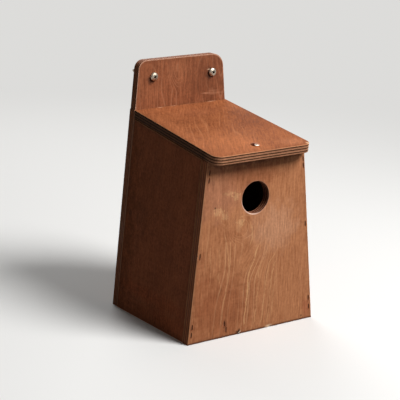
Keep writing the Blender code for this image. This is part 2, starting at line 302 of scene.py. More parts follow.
def soften(mesh, sharpAngle):
    # smooth across small turns only, with the big flat faces kept flat
    mesh.shade_smooth()
    mesh.set_sharp_from_angle(angle=math.radians(sharpAngle))
    holder = holderOf(mesh)
    modifier = holder.modifiers.new("weights", "WEIGHTED_NORMAL")
    modifier.keep_sharp = True
    return plainMesh(holder, mesh.name)


def addPiece(name, mesh, material, body, nodes):
    mesh.materials.clear()
    mesh.materials.append(material)
    mesh.polygons.foreach_set("material_index", [0] * len(mesh.polygons))
    piece = addObject(name, mesh)
    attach(piece, body)
    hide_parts(*nodes)


def placed(origin, across, along, out):
    turned = Matrix((across, along, out)).transposed().to_4x4()
    return Matrix.Translation(origin) @ turned


def facingFront(origin):
    return placed(origin, (1, 0, 0), (0, 0, 1), (0, -1, 0))


def shifted(place, across, along, out):
    return place @ Matrix.Translation((across, along, out))


# Geometry Nodes: a board sawn from an outline, with its plies in the edge

plyEdge = {
    "arris": 0.0006,
    "arrisSteps": 5,
    "glueLines": (0.115, 0.268, 0.422, 0.578, 0.732, 0.885),  # shares of the thickness
    "glueDepth": 0.00011,
    "glueWidth": 0.00013,
    "endGrainDepth": 0.00005,
    "outlineStep": 0.0028,
    "sawWave": 0.00016,
    "sawPitch": 260.0,
    "cornerSteps": 12,
    "seeds": {
        "frontBoard": 3.0, "leftSide": 17.0, "rightSide": 29.0, "backBoard": 41.0,
        "floorBoard": 53.0, "roofBoard": 67.0,
    },
}


def edgeProfile(thickness, arris):
    # rows of (inset, depth) from the outer face to the inner one
    steps = plyEdge["arrisSteps"]
    turns = [math.pi / 2 * index / steps for index in range(steps + 1)]
    rim = [(arris * (1 - math.sin(turn)), arris * (1 - math.cos(turn))) for turn in turns]
    rows = list(rim)
    for index, share in enumerate(plyEdge["glueLines"]):
        depth = share * thickness
        sides = [0, plyEdge["endGrainDepth"]]
        if index % 2:
            sides.reverse()
        rows.append((sides[0], depth - plyEdge["glueWidth"]))
        rows.append((plyEdge["glueDepth"], depth))
        rows.append((sides[1], depth + plyEdge["glueWidth"]))
    rows += [(inset, thickness - depth) for inset, depth in reversed(rim)]
    return lineMesh("edgeProfile", [(inset, depth, 0) for inset, depth in rows])


def newTree(name, inputs, output):
    tree = bpy.data.node_groups.new(name, "GeometryNodeTree")
    for inputName, kind in inputs:
        tree.interface.new_socket(inputName, in_out="INPUT", socket_type="NodeSocket" + kind)
    tree.interface.new_socket(output, in_out="OUTPUT", socket_type="NodeSocketGeometry")
    g = Graph(tree)
    return g, g.add("NodeGroupInput")


def endTree(g, start, geometry):
    solid = g.add("GeometryNodeRealizeInstances", {}, {"Geometry": geometry})
    painted = g.add("GeometryNodeSetMaterial", {}, {"Geometry": solid, "Material": start.out("Finish")})
    g.add("NodeGroupOutput", {}, {0: painted})
    return g.tree


def setPosition(g, geometry, position):
    return g.add("GeometryNodeSetPosition", {}, {"Geometry": geometry, "Position": position})


def merge(g, geometry):
    return g.add("GeometryNodeMergeByDistance", {}, {"Geometry": geometry, "Distance": weld["tree"]})


def namedVector(g, name):
    return g.add("GeometryNodeInputNamedAttribute", {"data_type": "FLOAT_VECTOR"}, {"Name": name})


def geometryOf(g, holder):
    return g.add("GeometryNodeObjectInfo", {}, {"Object": holder}, "Geometry")


def setOnPlaces(g, start, shape):
    # a copy on each point, turned by the point's own angles
    facing = g.add("FunctionNodeEulerToRotation", {}, {"Euler": namedVector(g, "turn")})
    sockets = {"Points": start.out("Places"), "Instance": shape, "Rotation": facing}
    return g.add("GeometryNodeInstanceOnPoints", {}, sockets)


def sample(g, geometry, value, index):
    settings = {"data_type": "FLOAT_VECTOR"}
    return g.add("GeometryNodeSampleIndex", settings, {"Geometry": geometry, "Value": value, "Index": index})


def gridCells(g, columns, rows):
    # a grid whose points know their column and row
    sockets = {"Vertices X": columns, "Vertices Y": rows}
    grid = g.add("GeometryNodeMeshGrid", {}, sockets, "Mesh")
    index = g.add("GeometryNodeInputIndex")
    column = g.maths("FLOOR", index / rows)
    return grid, column, index - column * rows


def pointCount(g, geometry):
    return g.add("GeometryNodeAttributeDomainSize", {}, {"Geometry": geometry}, "Point Count")


def makeBoardTree():
    inputs = (
        ("Outline", "Geometry"), ("Edge profile", "Object"), ("Thickness", "Float"),
        ("Saw wave", "Float"), ("Saw pitch", "Float"), ("Seed", "Float"), ("Finish", "Material"),
    )
    g, start = newTree("plyBoard", inputs, "Board")
    outline = start.out("Outline")
    thickness = start.out("Thickness")
    profile = geometryOf(g, start.out("Edge profile"))
    around = pointCount(g, outline)
    rows = pointCount(g, profile)
    position = g.add("GeometryNodeInputPosition")
    shear = namedVector(g, "shear")

    def ringPoint(index, row):
        here = g.maths("MODULO", index, around)
        before = g.maths("MODULO", here + around - 1, around)
        after = g.maths("MODULO", here + 1, around)
        point = sample(g, outline, position, here)
        incoming = g.vector("NORMALIZE", g.vector("SUBTRACT", point, sample(g, outline, position, before)))
        leaving = g.vector("NORMALIZE", g.vector("SUBTRACT", sample(g, outline, position, after), point))
        inX, inY, _ = g.split(incoming)
        outX, outY, _ = g.split(leaving)
        # both edges' inward normals, added and stretched to the mitre
        spread = 1 + inX * outX + inY * outY
        mitre = g.combine((0 - inY - outY) / spread, (inX + outX) / spread, 0.0)
        inset, depth, _ = g.split(sample(g, profile, position, row))
        pointX, pointY, _ = g.split(point)
        pitch = start.out("Saw pitch")
        spot = g.combine(pointX * pitch, pointY * pitch, depth * pitch + start.out("Seed"))
        saw = g.noise(spot, 1.0, 2.0) * start.out("Saw wave")
        moved = g.vector("ADD", point, g.shade(mitre, inset + saw))
        moved = g.vector("ADD", moved, g.shade(sample(g, outline, shear, here), depth / thickness))
        return moved, depth

    grid, column, row = gridCells(g, around + 1, rows)
    moved, depth = ringPoint(column, row)
    edge = setPosition(g, grid, g.vector("SUBTRACT", moved, g.combine(0.0, 0.0, depth)))
    shells = [edge]
    for profileRow, level in ((0, 0.0), (rows - 1, 0 - thickness)):
        flat, _ = ringPoint(g.add("GeometryNodeInputIndex"), profileRow)
        ring = g.add("GeometryNodeMeshToCurve", {}, {"Mesh": setPosition(g, outline, flat)})
        cap = g.add("GeometryNodeFillCurve", {"mode": "NGONS"}, {"Curve": ring})
        sockets = {"Geometry": cap, "Translation": g.combine(0.0, 0.0, level)}
        shells.append(g.add("GeometryNodeTransform", {}, sockets))
    shell = g.add("GeometryNodeJoinGeometry")
    for part in reversed(shells):
        g.link(part, shell, 0)
    return endTree(g, start, merge(g, shell))


def outlinePoints(corners):
    # corners as (across, along, shear across, shear along, radius), anticlockwise from outside
    rounded = []
    for index, (across, along, shearAcross, shearAlong, radius) in enumerate(corners):
        corner = Vector((across, along))
        shear = Vector((shearAcross, shearAlong))
        if radius == 0:
            rounded.append((corner, shear))
            continue
        before = (Vector(corners[index - 1][:2]) - corner).normalized()
        after = (Vector(corners[(index + 1) % len(corners)][:2]) - corner).normalized()
        half = before.angle(after) / 2
        centre = corner + (before + after).normalized() * (radius / math.sin(half))
        first = corner + before * (radius / math.tan(half)) - centre
        last = corner + after * (radius / math.tan(half)) - centre
        turn = first.angle_signed(last)
        for step in range(plyEdge["cornerSteps"] + 1):
            share = step / plyEdge["cornerSteps"]
            rounded.append((centre + Matrix.Rotation(-turn * share, 2) @ first, shear))
    points = []
    for (here, shear), (there, nextShear) in zip(rounded, rounded[1:] + rounded[:1]):
        count = max(1, round((there - here).length / plyEdge["outlineStep"]))
        for step in range(count):
            points.append((here.lerp(there, step / count), shear.lerp(nextShear, step / count)))
    return points


def sawBoard(name, corners, place, arris=plyEdge["arris"]):
    points = outlinePoints(corners)
    outline = lineMesh(name + "Outline", [(point.x, point.y, 0) for point, _ in points], True)
    giveVectors(outline, "shear", [(shear.x, shear.y, 0) for _, shear in points])
    values = {
        "Edge profile": edgeProfile(ply, arris), "Thickness": ply, "Saw wave": plyEdge["sawWave"],
        "Saw pitch": plyEdge["sawPitch"], "Seed": plyEdge["seeds"][name],
    }
    mesh = grow(name, boardTree, outline, values)
    mesh.transform(place)
    return outward(mesh)


boardTree = makeBoardTree()
random.seed(11)

# Cutters, each in its own space with z or y out of the face

torn = {
    "coarse": 7,
    "perMetre": 900,
    "fine": 26,
    "fineSeed": 5.0,
    "fineShare": 0.5,
    "least": 0.35,
    "level": (0.4, 0.6),  # above and below, and how much more at the sides
}
bore = {
    "through": 0.02,
    "above": 0.001,
    "flare": 0.00025,
    "sides": 28,
}
chip = {"roughness": 0.35, "pitch": 2.2}


def boreCutter(place, rows, sides, tear=0.0, seed=0):
    # a turned plug: rows of (radius, height, how much it is torn)
    coarse, fine, level = torn["coarse"], torn["fine"], torn["level"]
    verts = []
    for radius, height, share in rows:
        for index in range(sides):
            turn = math.tau * index / sides
            across, along = math.cos(turn), math.sin(turn)
            spot = Vector((across * coarse, along * coarse, height * torn["perMetre"] + seed))
            splinter = Vector((across * fine, along * fine, seed + torn["fineSeed"]))
            rough = torn["least"] + noise.noise(spot) + torn["fineShare"] * noise.noise(splinter)
            reach = radius + tear * share * rough * (level[0] + level[1] * abs(across))
            verts.append((across * reach, along * reach, height))
    mesh = meshOf("bore", verts, ringFaces(len(rows), sides))
    mesh.transform(place)
    return outward(mesh)


def plainBore(place, radius, depth=bore["through"], flare=bore["flare"]):
    rows = (
        (radius + flare + bore["above"], bore["above"], 0), (radius + flare * 0.3, -flare * 0.5, 0),
        (radius, -flare, 0), (radius, -depth, 0),
    )
    return boreCutter(place, rows, bore["sides"])


def chipCutter(centre, radii, seed):
    # a rough lump that takes a splinter out of an arris
    work = bmesh.new()
    bmesh.ops.create_icosphere(work, subdivisions=2, radius=1)
    for vert in work.verts:
        lump = noise.noise(vert.co * chip["pitch"] + Vector((seed, 0, 0)))
        vert.co *= 1 + chip["roughness"] * lump
        vert.co = Vector(centre) + Vector(part * reach for part, reach in zip(vert.co, radii))
    mesh = bpy.data.meshes.new("chip")
    work.to_mesh(mesh)
    work.free()
    return mesh


slit = {
    "crown": 0.0058,
    "halfWidth": 0.00072,
    "tail": (0.0001, 0.0006),
    "floor": -0.0011,
    "above": 0.004,
    "narrowing": (0.97, 0.92),
    "bluntness": 5,
    "leastHalf": 0.00008,
    "rag": (0.86, 1.12),
    "points": 11,
}


def slitCutter(place):
    # the ragged mouth that a sunk staple leaves in the veneer
    left = -slit["crown"] / 2 - random.uniform(*slit["tail"])
    right = slit["crown"] / 2 + random.uniform(*slit["tail"])
    middle, half = (left + right) / 2, (right - left) / 2
    upper, lower = [], []
    for index in range(slit["points"]):
        share = index / (slit["points"] - 1) * 2 - 1
        width = slit["halfWidth"] * (1 - abs(share) ** slit["bluntness"]) + slit["leastHalf"]
        upper.append((middle + half * share, width * random.uniform(*slit["rag"])))
        lower.append((middle + half * share, -width * random.uniform(*slit["rag"])))
    ring = upper + lower[::-1]
    narrowX, narrowZ = slit["narrowing"]
    verts = [(x, slit["above"], z) for x, z in ring]
    verts += [(x * narrowX, slit["floor"], z * narrowZ) for x, z in ring]
    mesh = meshOf("slit", verts, ringFaces(2, len(ring)))
    mesh.transform(place)
    return outward(mesh)


# Where each fastener is, read from the frame


def middleOf(node):
    low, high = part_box(node)
    return (low + high) / 2, low, high


def staplePlace(node, out, crown):
    middle, low, high = middleOf(node)
    seat = Vector((middle.x, low.y if out.y < 0 else high.y, middle.z))
    return placed(seat, crown, out, crown.cross(out))


def upSide(side):
    # up along a side board that leans in; side is -1 for the left one and 1 for the right one
    return Vector((-side * math.sin(lean), 0, math.cos(lean)))


toFront, toBack = Vector((0, -1, 0)), Vector((0, 1, 0))
frontStaples, backStaples = {}, {}
for side, word in ((-1, "left"), (1, "right")):
    for number in range(1, 6):
        node = "front_staple_" + word + "_" + str(number)
        frontStaples[node] = staplePlace(node, toFront, upSide(side))
    for number in range(1, 4):
        node = "back_staple_" + word + "_" + str(number)
        backStaples[node] = staplePlace(node, toBack, upSide(side))
    node = "back_staple_floor_" + word
    backStaples[node] = staplePlace(node, toBack, Vector((1, 0, 0)))
for number in (1, 2):
    node = "front_staple_floor_" + str(number)
    frontStaples[node] = staplePlace(node, toFront, Vector((0, 0, 1)))


# Board frames: across, along the height, out of the visible face


def sidePlace(side):
    spot = (side * halfWidth(0), 0, footLevel)
    return placed(spot, (0, side, 0), upSide(side), (side * math.cos(lean), 0, math.sin(lean)))


frontPlace = facingFront((0, -carcass["bodyDepth"], footLevel))
backPlace = facingFront((0, -ply, footLevel))
floorPlace = placed((0, 0, footLevel + ply), (1, 0, 0), (0, 1, 0), (0, 0, 1))
leftPlace, rightPlace = sidePlace(-1), sidePlace(1)
roofPlace = placed(
    (0, -seatDepth, footLevel + carcass["shoulderHeight"]), (1, 0, 0),
    (0, math.cos(slope), math.sin(slope)), (0, -math.sin(slope), math.cos(slope)),
)


def roofUnderside(depth):
    return carcass["shoulderHeight"] - (depth - seatDepth) * math.tan(slope) - ply / math.cos(slope)


# Front board

frontBoard = {
    "entranceRadius": 0.016,
    "entranceDrop": 0.042,
    "rimRadius": 0.0009,
    "innerRim": 0.0006,
    "rimTear": 0.00022,
    "rimSeed": 4,
    "rimSteps": 4,
    "rimTearSteps": (0.22, 0.2),  # less at each step from the outer face, more towards the inner one
    "plugWider": 0.004,
    "plugLonger": 0.002,
    "glueClear": 0.0003,
    "glueHalf": 0.00015,
    "glueDepth": 0.00016,
    "plyStep": 0.0001,
    "plyTear": 0.15,
    "sides": 112,
    "nailBore": (0.00105, 0.02, 0.0003),  # radius, depth, flare
    "pilotBore": (0.0019, 0.0115, 0.0002),
    "pilotStretch": 1.35,
    "pilotShift": (0.0006, 0.0003),
    "chipSeed": 3.7,
    "chips": (
        # across, height, radii
        (0.0232, 0.0000, (0.0024, 0.0014, 0.0013)),
        (-0.0585, 0.0000, (0.0020, 0.0009, 0.0008)),
        (0.0655, 0.0000, (0.0026, 0.0010, 0.0009)),
        (0.0030, 0.0000, (0.0013, 0.0008, 0.0006)),
    ),
}
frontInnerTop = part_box("front_panel")[1].z - footLevel
frontOuterTop = frontInnerTop - ply * math.tan(slope)
entranceHeight = roofUnderside(carcass["bodyDepth"]) - frontBoard["entranceDrop"]
roofScrewReach = (carcass["bodyDepth"] - ply / 2 - seatDepth) / math.cos(slope) + seatDepth * math.tan(slope)


def frontCorners():
    lower = boardHalfWidth(0, carcass["edgeStep"])
    outer = boardHalfWidth(frontOuterTop, carcass["edgeStep"])
    inner = boardHalfWidth(frontInnerTop, carcass["edgeStep"])
    rise = frontInnerTop - frontOuterTop
    return (
        (-lower, 0, 0, 0, 0), (lower, 0, 0, 0, 0),
        (outer, frontOuterTop, inner - outer, rise, 0), (-outer, frontOuterTop, outer - inner, rise, 0),
    )


def entranceRows():
    # the bore's wall with its rounded rims and the plies cut across
    radius, rim, inner = frontBoard["entranceRadius"], frontBoard["rimRadius"], frontBoard["innerRim"]
    wider, longer, steps = frontBoard["plugWider"], frontBoard["plugLonger"], frontBoard["rimSteps"]
    less, more = frontBoard["rimTearSteps"]
    glue, tear = frontBoard["glueHalf"], frontBoard["plyTear"]
    rows = [(radius + rim * 0.65 + wider, longer, 1)]
    for index in range(1, steps + 1):
        turn = math.pi / 2 * index / steps
        rows.append((radius + rim * (1 - math.sin(turn)), -rim * (1 - math.cos(turn)), 1 - index * less))
    for index, share in enumerate(plyEdge["glueLines"]):
        depth = share * ply
        if depth < rim + frontBoard["glueClear"]:
            continue
        step = frontBoard["plyStep"] if index % 2 else 0.0
        rows.append((radius + step, -depth + glue, tear))
        rows.append((radius + frontBoard["glueDepth"], -depth, tear))
        rows.append((radius + frontBoard["plyStep"] - step, -depth - glue, tear))
    for index in range(steps):
        turn = math.pi / 2 * (1 - index / steps)
        depth = -ply + inner * (1 - math.cos(turn))
        rows.append((radius + inner * (1 - math.sin(turn)), depth, index * more))
    rows.append((radius + inner * 0.65 + wider, -ply - longer, 1))
    return rows


frontMesh = sawBoard("frontBoard", frontCorners(), frontPlace)
entrancePlace = shifted(frontPlace, 0, entranceHeight, 0)
rimTear, rimSeed = frontBoard["rimTear"], frontBoard["rimSeed"]
cutters = [boreCutter(entrancePlace, entranceRows(), frontBoard["sides"], rimTear, rimSeed)]
cutters += [slitCutter(place) for place in frontStaples.values()]
for index, (across, height, (halfAcross, halfAlong, deep)) in enumerate(frontBoard["chips"]):
    centre = frontPlace @ Vector((across, height, 0))
    cutters.append(chipCutter(centre, (halfAcross, deep, halfAlong), index * frontBoard["chipSeed"]))
nailMiddle = middleOf("floor_nail")[0]
nailPlace = facingFront((nailMiddle.x, -carcass["bodyDepth"], nailMiddle.z))
cutters.append(plainBore(nailPlace, *frontBoard["nailBore"]))
# the roof swings with its screw in place, so the pilot hole is a slot
back, down = frontBoard["pilotShift"]
screwPlace = shifted(roofPlace, 0, -roofScrewReach, 0)
pilotPlace = shifted(roofPlace, 0, -roofScrewReach - back, -ply - down)
pilotPlace = pilotPlace @ Matrix.Diagonal((1, frontBoard["pilotStretch"], 1, 1))
cutters.append(plainBore(pilotPlace, *frontBoard["pilotBore"]))
frontMesh = soften(carve(frontMesh, cutters), sharp["boards"])
print("front board sawn:", len(frontMesh.polygons), "faces")

# Side boards

sideLow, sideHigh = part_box("left_side_panel")
sideRear = (sideHigh.z - footLevel) / math.cos(lean)
sideFront = (sideHigh.z - footLevel - (sideHigh.y - sideLow.y) * math.tan(slope)) / math.cos(lean)
sideRise = ply * math.tan(lean)


def sideCorners(side):
    # from outside the left board starts at its rear edge and the right one at its front
    (near, nearTop), (far, farTop) = [(sideLow.y, sideFront), (sideHigh.y, sideRear)][::side]
    return (
        (side * near, 0, 0, sideRise, 0), (side * far, 0, 0, sideRise, 0),
        (side * far, farTop, 0, sideRise, 0), (side * near, nearTop, 0, sideRise, 0),
    )


leftCorners, rightCorners = sideCorners(-1), sideCorners(1)
leftMesh = soften(sawBoard("leftSide", leftCorners, leftPlace), sharp["boards"])
rightMesh = soften(sawBoard("rightSide", rightCorners, rightPlace), sharp["boards"])
print("side boards sawn")

# Back board, which rises above the roof as a tab

backBoard = {
    "tabHeight": 0.049,
    "tabStep": 0.0006,
    "leftRadius": 0.0095,
    "rightRadius": 0.0135,
    "arris": 0.0005,
    "boreRadius": 0.0023,
}
wallNodes = ("wall_screw_left", "wall_screw_right")
backHeight = carcass["shoulderHeight"] + backBoard["tabHeight"]


def backCorners():
    proud = -carcass["edgeStep"]
    lower = boardHalfWidth(0, proud)
    outer = boardHalfWidth(carcass["shoulderHeight"], proud)
    inner = outer - backBoard["tabStep"]
    top = boardHalfWidth(backHeight, proud) - backBoard["tabStep"]
    shoulder = carcass["shoulderHeight"]
    return (
        (-lower, 0, 0, 0, 0), (lower, 0, 0, 0, 0),
        (outer, shoulder, 0, 0, 0), (inner, shoulder, 0, 0, 0),
        (top, backHeight, 0, 0, backBoard["rightRadius"]),
        (-top, backHeight, 0, 0, backBoard["leftRadius"]),
        (-inner, shoulder, 0, 0, 0), (-outer, shoulder, 0, 0, 0),
    )


backMesh = sawBoard("backBoard", backCorners(), backPlace, backBoard["arris"])
cutters = [slitCutter(place) for place in backStaples.values()]
for node in wallNodes:
    middle = middleOf(node)[0]
    cutters.append(plainBore(facingFront((middle.x, -ply, middle.z)), backBoard["boreRadius"]))
backMesh = soften(carve(backMesh, cutters), sharp["boards"])
print("back board sawn")

# Floor with its four drain holes

floorBoard = {"drainRadius": 0.0025, "drainInset": 0.019, "drainFlare": 0.0004, "arris": 0.0003}
floorLow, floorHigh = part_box("floor_panel")
floorLower = floorHigh.x
floorUpper = floorLower - taper * ply
floorShear = floorLower - floorUpper
floorCorners = (
    (-floorUpper, floorLow.y, -floorShear, 0, 0), (floorUpper, floorLow.y, floorShear, 0, 0),
    (floorUpper, floorHigh.y, floorShear, 0, 0), (-floorUpper, floorHigh.y, -floorShear, 0, 0),
)
floorPly = sawBoard("floorBoard", floorCorners, floorPlace, floorBoard["arris"])
drain = (floorBoard["drainRadius"], bore["through"], floorBoard["drainFlare"])
cutters = []
for side in (-1, 1):
    for along in (floorLow.y + floorBoard["drainInset"], floorHigh.y - floorBoard["drainInset"]):
        across = side * (floorUpper - floorBoard["drainInset"])
        cutters.append(plainBore(shifted(floorPlace, across, along, 0), *drain))
floorPly = soften(carve(floorPly, cutters), sharp["boards"])
print("floor sawn")

# Roof

roofBoard = {
    "sideInset": 0.00035,
    "cornerRadius": 0.0095,
    "arris": 0.0007,
    "boreRadius": 0.0019,
    "chipInset": (0.0024, 0.0026, 0.0001),
    "chipRadii": (0.0016, 0.0016, 0.0007),
    "chipSeed": 8.2,
}


def roofHalf(reach):
    return halfWidth(roofUnderside(reach * math.cos(slope) + seatDepth)) - roofBoard["sideInset"]


roofLength = (carcass["bodyDepth"] + carcass["roofOverhang"] - seatDepth) / math.cos(slope)
rearShear = -ply * math.tan(slope)
roofFront, roofRear = roofHalf(roofLength), roofHalf(0)
roofCorners = (
    (-roofFront, -roofLength, 0, 0, roofBoard["cornerRadius"]),
    (roofFront, -roofLength, 0, 0, roofBoard["cornerRadius"]),
    (roofRear, 0, 0, rearShear, 0), (-roofRear, 0, 0, rearShear, 0),
)
roofMesh = sawBoard("roofBoard", roofCorners, roofPlace, roofBoard["arris"])
inX, inY, inZ = roofBoard["chipInset"]
cornerChip = roofPlace @ Vector((roofFront - inX, -roofLength + inY, -inZ))
cutters = [
    plainBore(screwPlace, roofBoard["boreRadius"]),
    chipCutter(cornerChip, roofBoard["chipRadii"], roofBoard["chipSeed"]),
]
roofMesh = soften(carve(roofMesh, cutters), sharp["boards"])
print("roof sawn")

# Geometry Nodes: turned fasteners, and staples bent from wire, set on points

screw = {
    "headRadius": 0.0043,
    "wallHead": 0.0031,
    "wallShank": 0.002,
    "wallLength": 0.040,
    "wallTurns": (math.radians(20), math.radians(64)),
    "roofHead": 0.0014,
    "roofShank": 0.0016,
    "roofLength": 0.020,
    "roofTurn": 0.6,
    "headRim": 0.3,
    "headSteps": 12,
    "underside": ((0, 0.4), (0.00012, 0.08), (0.0003, 0)),  # in from the rim, share of its height
    "shoulder": 1.06,
    "neckShare": 0.93,
    "recessLength": 0.0042,
    "recessWidth": 0.0009,
    "recessCore": 0.0011,
    "recessShare": 0.68,
    "recessAbove": 0.0008,
    "recessRings": ((1.1, 1.0, 1.15), (0.8, 0.85, 0.8), (0.42, 0.5, 0.42)),  # shares of the three
    "recessWaist": 0.2,
    "armPoint": (0.75, 1.05),
    "coreLeast": 1.25,
    "threadShare": 0.2,
    "pitch": 0.0015,
    "pitchSteps": 9,
    "neck": 0.0012,
    "tipShare": 1.1,
    "tipBulge": 0.8,
    "tipThread": 1.4,
    "sides": 40,
}
nail = {
    "headRadius": 0.0016,
    "headHeight": 0.0007,
    "headShares": ((0, 1), (0.5, 0.96), (0.8, 0.8), (0.96, 0.5), (1, 0.25), (0.97, 0)),
    "shankRadius": 0.0008,
    "length": 0.0240,
    "fillet": 1.2,
    "filletHeight": 0.0006,
    "tip": (0.0016, 0.0005),
    "notch": (0.0009, 0.0004),
    "notchRadii": (0.0009, 0.0003, 0.0003),
    "notchSeed": 2.0,
    "sides": 28,
}
staple = {
    "crown": 0.0058,
    "wireWidth": 0.0012,
    "wireDepth": 0.0010,
    "leg": 0.0150,
    "bend": 0.0008,
    "bendSteps": 5,
    "cornerShare": 0.24,
    "cornerSteps": 2,
    "tipRun": 0.04,
    "tipShare": 0.12,
}
lathe = {
    "wholeTurns": 50,
    "ridgeSlope": 4.5,
    "dirtDepth": (0.00008, 0.0005),
    "dirtReach": (0.86, 0.8),  # clean beyond the first, shares of the clean radius
    "dirtLevel": 0.0001,
}


def makeTurnedTree():
    inputs = (
        ("Places", "Geometry"), ("Profile", "Object"), ("Recess", "Object"), ("Sides", "Int"),
        ("Thread pitch", "Float"), ("Thread depth", "Float"), ("Clean radius", "Float"),
        ("Head height", "Float"), ("Finish", "Material"),
    )
    g, start = newTree("turnedFastener", inputs, "Fasteners")
    sides = start.out("Sides")
    profile = geometryOf(g, start.out("Profile"))
    grid, column, row = gridCells(g, sides + 1, pointCount(g, profile))
    position = g.add("GeometryNodeInputPosition")
    radius, height, crest = g.split(sample(g, profile, position, row))
    share = g.maths("MODULO", column, sides) / sides
    # a ridge that climbs one pitch a turn, with whole turns added to keep the phase above zero
    phase = g.maths("FRACT", height / start.out("Thread pitch") + share + lathe["wholeTurns"])
    ridge = g.maths("MAXIMUM", 1 - g.maths("ABSOLUTE", phase - 0.5) * lathe["ridgeSlope"], 0.0)
    reach = radius + ridge * crest * start.out("Thread depth")
    turn = share * math.tau
    around = g.combine(reach * g.maths("COSINE", turn), reach * g.maths("SINE", turn), height)
    blank = g.add("GeometryNodeFlipFaces", {}, {"Mesh": merge(g, setPosition(g, grid, around))})
    settings = {"operation": "DIFFERENCE", "solver": "EXACT"}
    driven = g.add("GeometryNodeMeshBoolean", settings, {"Mesh 1": blank})
    g.link(geometryOf(g, start.out("Recess")), driven, "Mesh 2")
    # how far a point lies below the dome, which is where dirt stays
    pointX, pointY, pointZ = g.split(position)
    away = g.length(g.combine(pointX, pointY, 0.0)) / start.out("Clean radius")
    dome = g.maths("SQRT", g.maths("MAXIMUM", 1 - away * away, 0.0)) * (1 - screw["headRim"])
    sunk = (dome + screw["headRim"]) * start.out("Head height") - pointZ
    grime = g.ease(sunk, *lathe["dirtDepth"]) * g.ease(away, *lathe["dirtReach"])
    grime = grime * g.ease(pointZ, 0.0, lathe["dirtLevel"])
    sockets = {"Geometry": driven, "Name": "grime", "Value": grime}
    driven = g.add("GeometryNodeStoreNamedAttribute", {"data_type": "FLOAT", "domain": "POINT"}, sockets)
    return endTree(g, start, setOnPlaces(g, start, driven))


def makeStapleTree():
    inputs = (
        ("Places", "Geometry"), ("Path", "Object"), ("Wire width", "Float"), ("Wire depth", "Float"),
        ("Bend radius", "Float"), ("Finish", "Material"),
    )
    g, start = newTree("wireStaple", inputs, "Staples")

    def rounded(curve, radius, count, limit):
        sockets = {"Curve": curve, "Radius": radius, "Count": count, "Limit Radius": limit}
        return g.add("GeometryNodeFilletCurve", {"mode": "POLY"}, sockets)

    path = g.add("GeometryNodeMeshToCurve", {}, {"Mesh": geometryOf(g, start.out("Path"))})
    path = rounded(path, start.out("Bend radius"), staple["bendSteps"], True)
    sockets = {"Width": start.out("Wire depth"), "Height": start.out("Wire width")}
    wire = g.add("GeometryNodeCurvePrimitiveQuadrilateral", {}, sockets)
    corner = start.out("Wire depth") * staple["cornerShare"]
    wire = rounded(wire, corner, staple["cornerSteps"], False)
    along = g.add("GeometryNodeSplineParameter", {}, {}, "Factor")
    # both tips are cut to a point
    tip = g.ease(g.maths("ABSOLUTE", along - 0.5), 0.5, 0.5 - staple["tipRun"], staple["tipShare"], 1.0)
    sockets = {"Curve": path, "Profile Curve": wire, "Fill Caps": True, "Scale": tip}
    return endTree(g, start, setOnPlaces(g, start, g.add("GeometryNodeCurveToMesh", {}, sockets)))


def placePoints(name, places):
    points = bpy.data.meshes.new(name)
    points.from_pydata([tuple(place.translation) for place in places], [], [])
    giveVectors(points, "turn", [place.to_euler() for place in places])
    return points


def screwProfile(shankRadius, length, height):
    # rows of (radius, height, crest) from the middle of the head to the tip
    head, neck, steps = screw["headRadius"], screw["neck"], screw["pitchSteps"]
    rim = screw["headRim"] * height
    rows = []
    for index in range(screw["headSteps"]):
        turn = math.pi / 2 * index / (screw["headSteps"] - 1)
        rows.append((head * math.sin(turn), rim + (height - rim) * math.cos(turn), 0))
    rows += [(head - inset, rim * share, 0) for inset, share in screw["underside"]]
    narrow = shankRadius * screw["neckShare"]
    rows += [(shankRadius * screw["shoulder"], 0, 0), (narrow, -neck / 4, 0), (narrow, -neck, 0)]
    core = shankRadius * (1 - screw["threadShare"])
    step = screw["pitch"] / steps
    tip = shankRadius * 2 * screw["tipShare"]
    for index in range(1, int((length - neck) / step)):
        down = neck + index * step
        left = min(1.0, (length - down) / tip)
        crest = min(1.0, index / steps) * min(1.0, left * screw["tipThread"])
        rows.append((core * left ** screw["tipBulge"], -down, crest))
    rows.append((0, -length, 0))
    return rows


def crossCutter(headHeight):
    # a cross-shaped driver recess with a wide middle, which narrows downwards
    floor = headHeight * (1 - screw["recessShare"])
    heights = (headHeight + screw["recessAbove"], floor + headHeight * screw["recessWaist"], floor)
    blunt, point = screw["armPoint"]
    verts = []
    for (longShare, wideShare, coreShare), height in zip(screw["recessRings"], heights):
        long = screw["recessLength"] / 2 * longShare
        wide = screw["recessWidth"] / 2 * wideShare
        core = max(screw["recessCore"] * coreShare, wide * screw["coreLeast"]) * math.sqrt(0.5)
        arm = [(long, -wide * blunt), (long * point, 0), (long, wide * blunt), (core, core)]
        for quarter in range(4):
            spin = Matrix.Rotation(math.pi / 2 * quarter, 2)
            verts += [tuple(spin @ Vector(corner)) + (height,) for corner in arm]
    return outward(meshOf("crossRecess", verts, ringFaces(len(heights), len(verts) // len(heights))))


def turnFasteners(name, rows, recess, places, sides, headHeight, cleanRadius, threadRadius=0.0):
    values = {
        "Profile": lineMesh(name + "Profile", rows), "Recess": recess, "Sides": sides,
        "Thread pitch": screw["pitch"], "Thread depth": screw["threadShare"] * threadRadius,
        "Clean radius": cleanRadius, "Head height": headHeight,
    }
    mesh = grow(name, turnedTree, placePoints(name + "Places", places), values)
    return soften(outward(mesh, weld["fasteners"]), sharp["turned"])


def turnScrews(name, shankRadius, length, headHeight, places):
    rows, cross = screwProfile(shankRadius, length, headHeight), crossCutter(headHeight)
    radii = screw["headRadius"], shankRadius
    return turnFasteners(name, rows, cross, places, screw["sides"], headHeight, *radii)


turnedTree = makeTurnedTree()
stapleTree = makeStapleTree()


def screwPlaceOf(node, spin):
    middle = middleOf(node)[0]
    return facingFront((middle.x, -seatDepth, middle.z)) @ Matrix.Rotation(spin, 4, "Z")


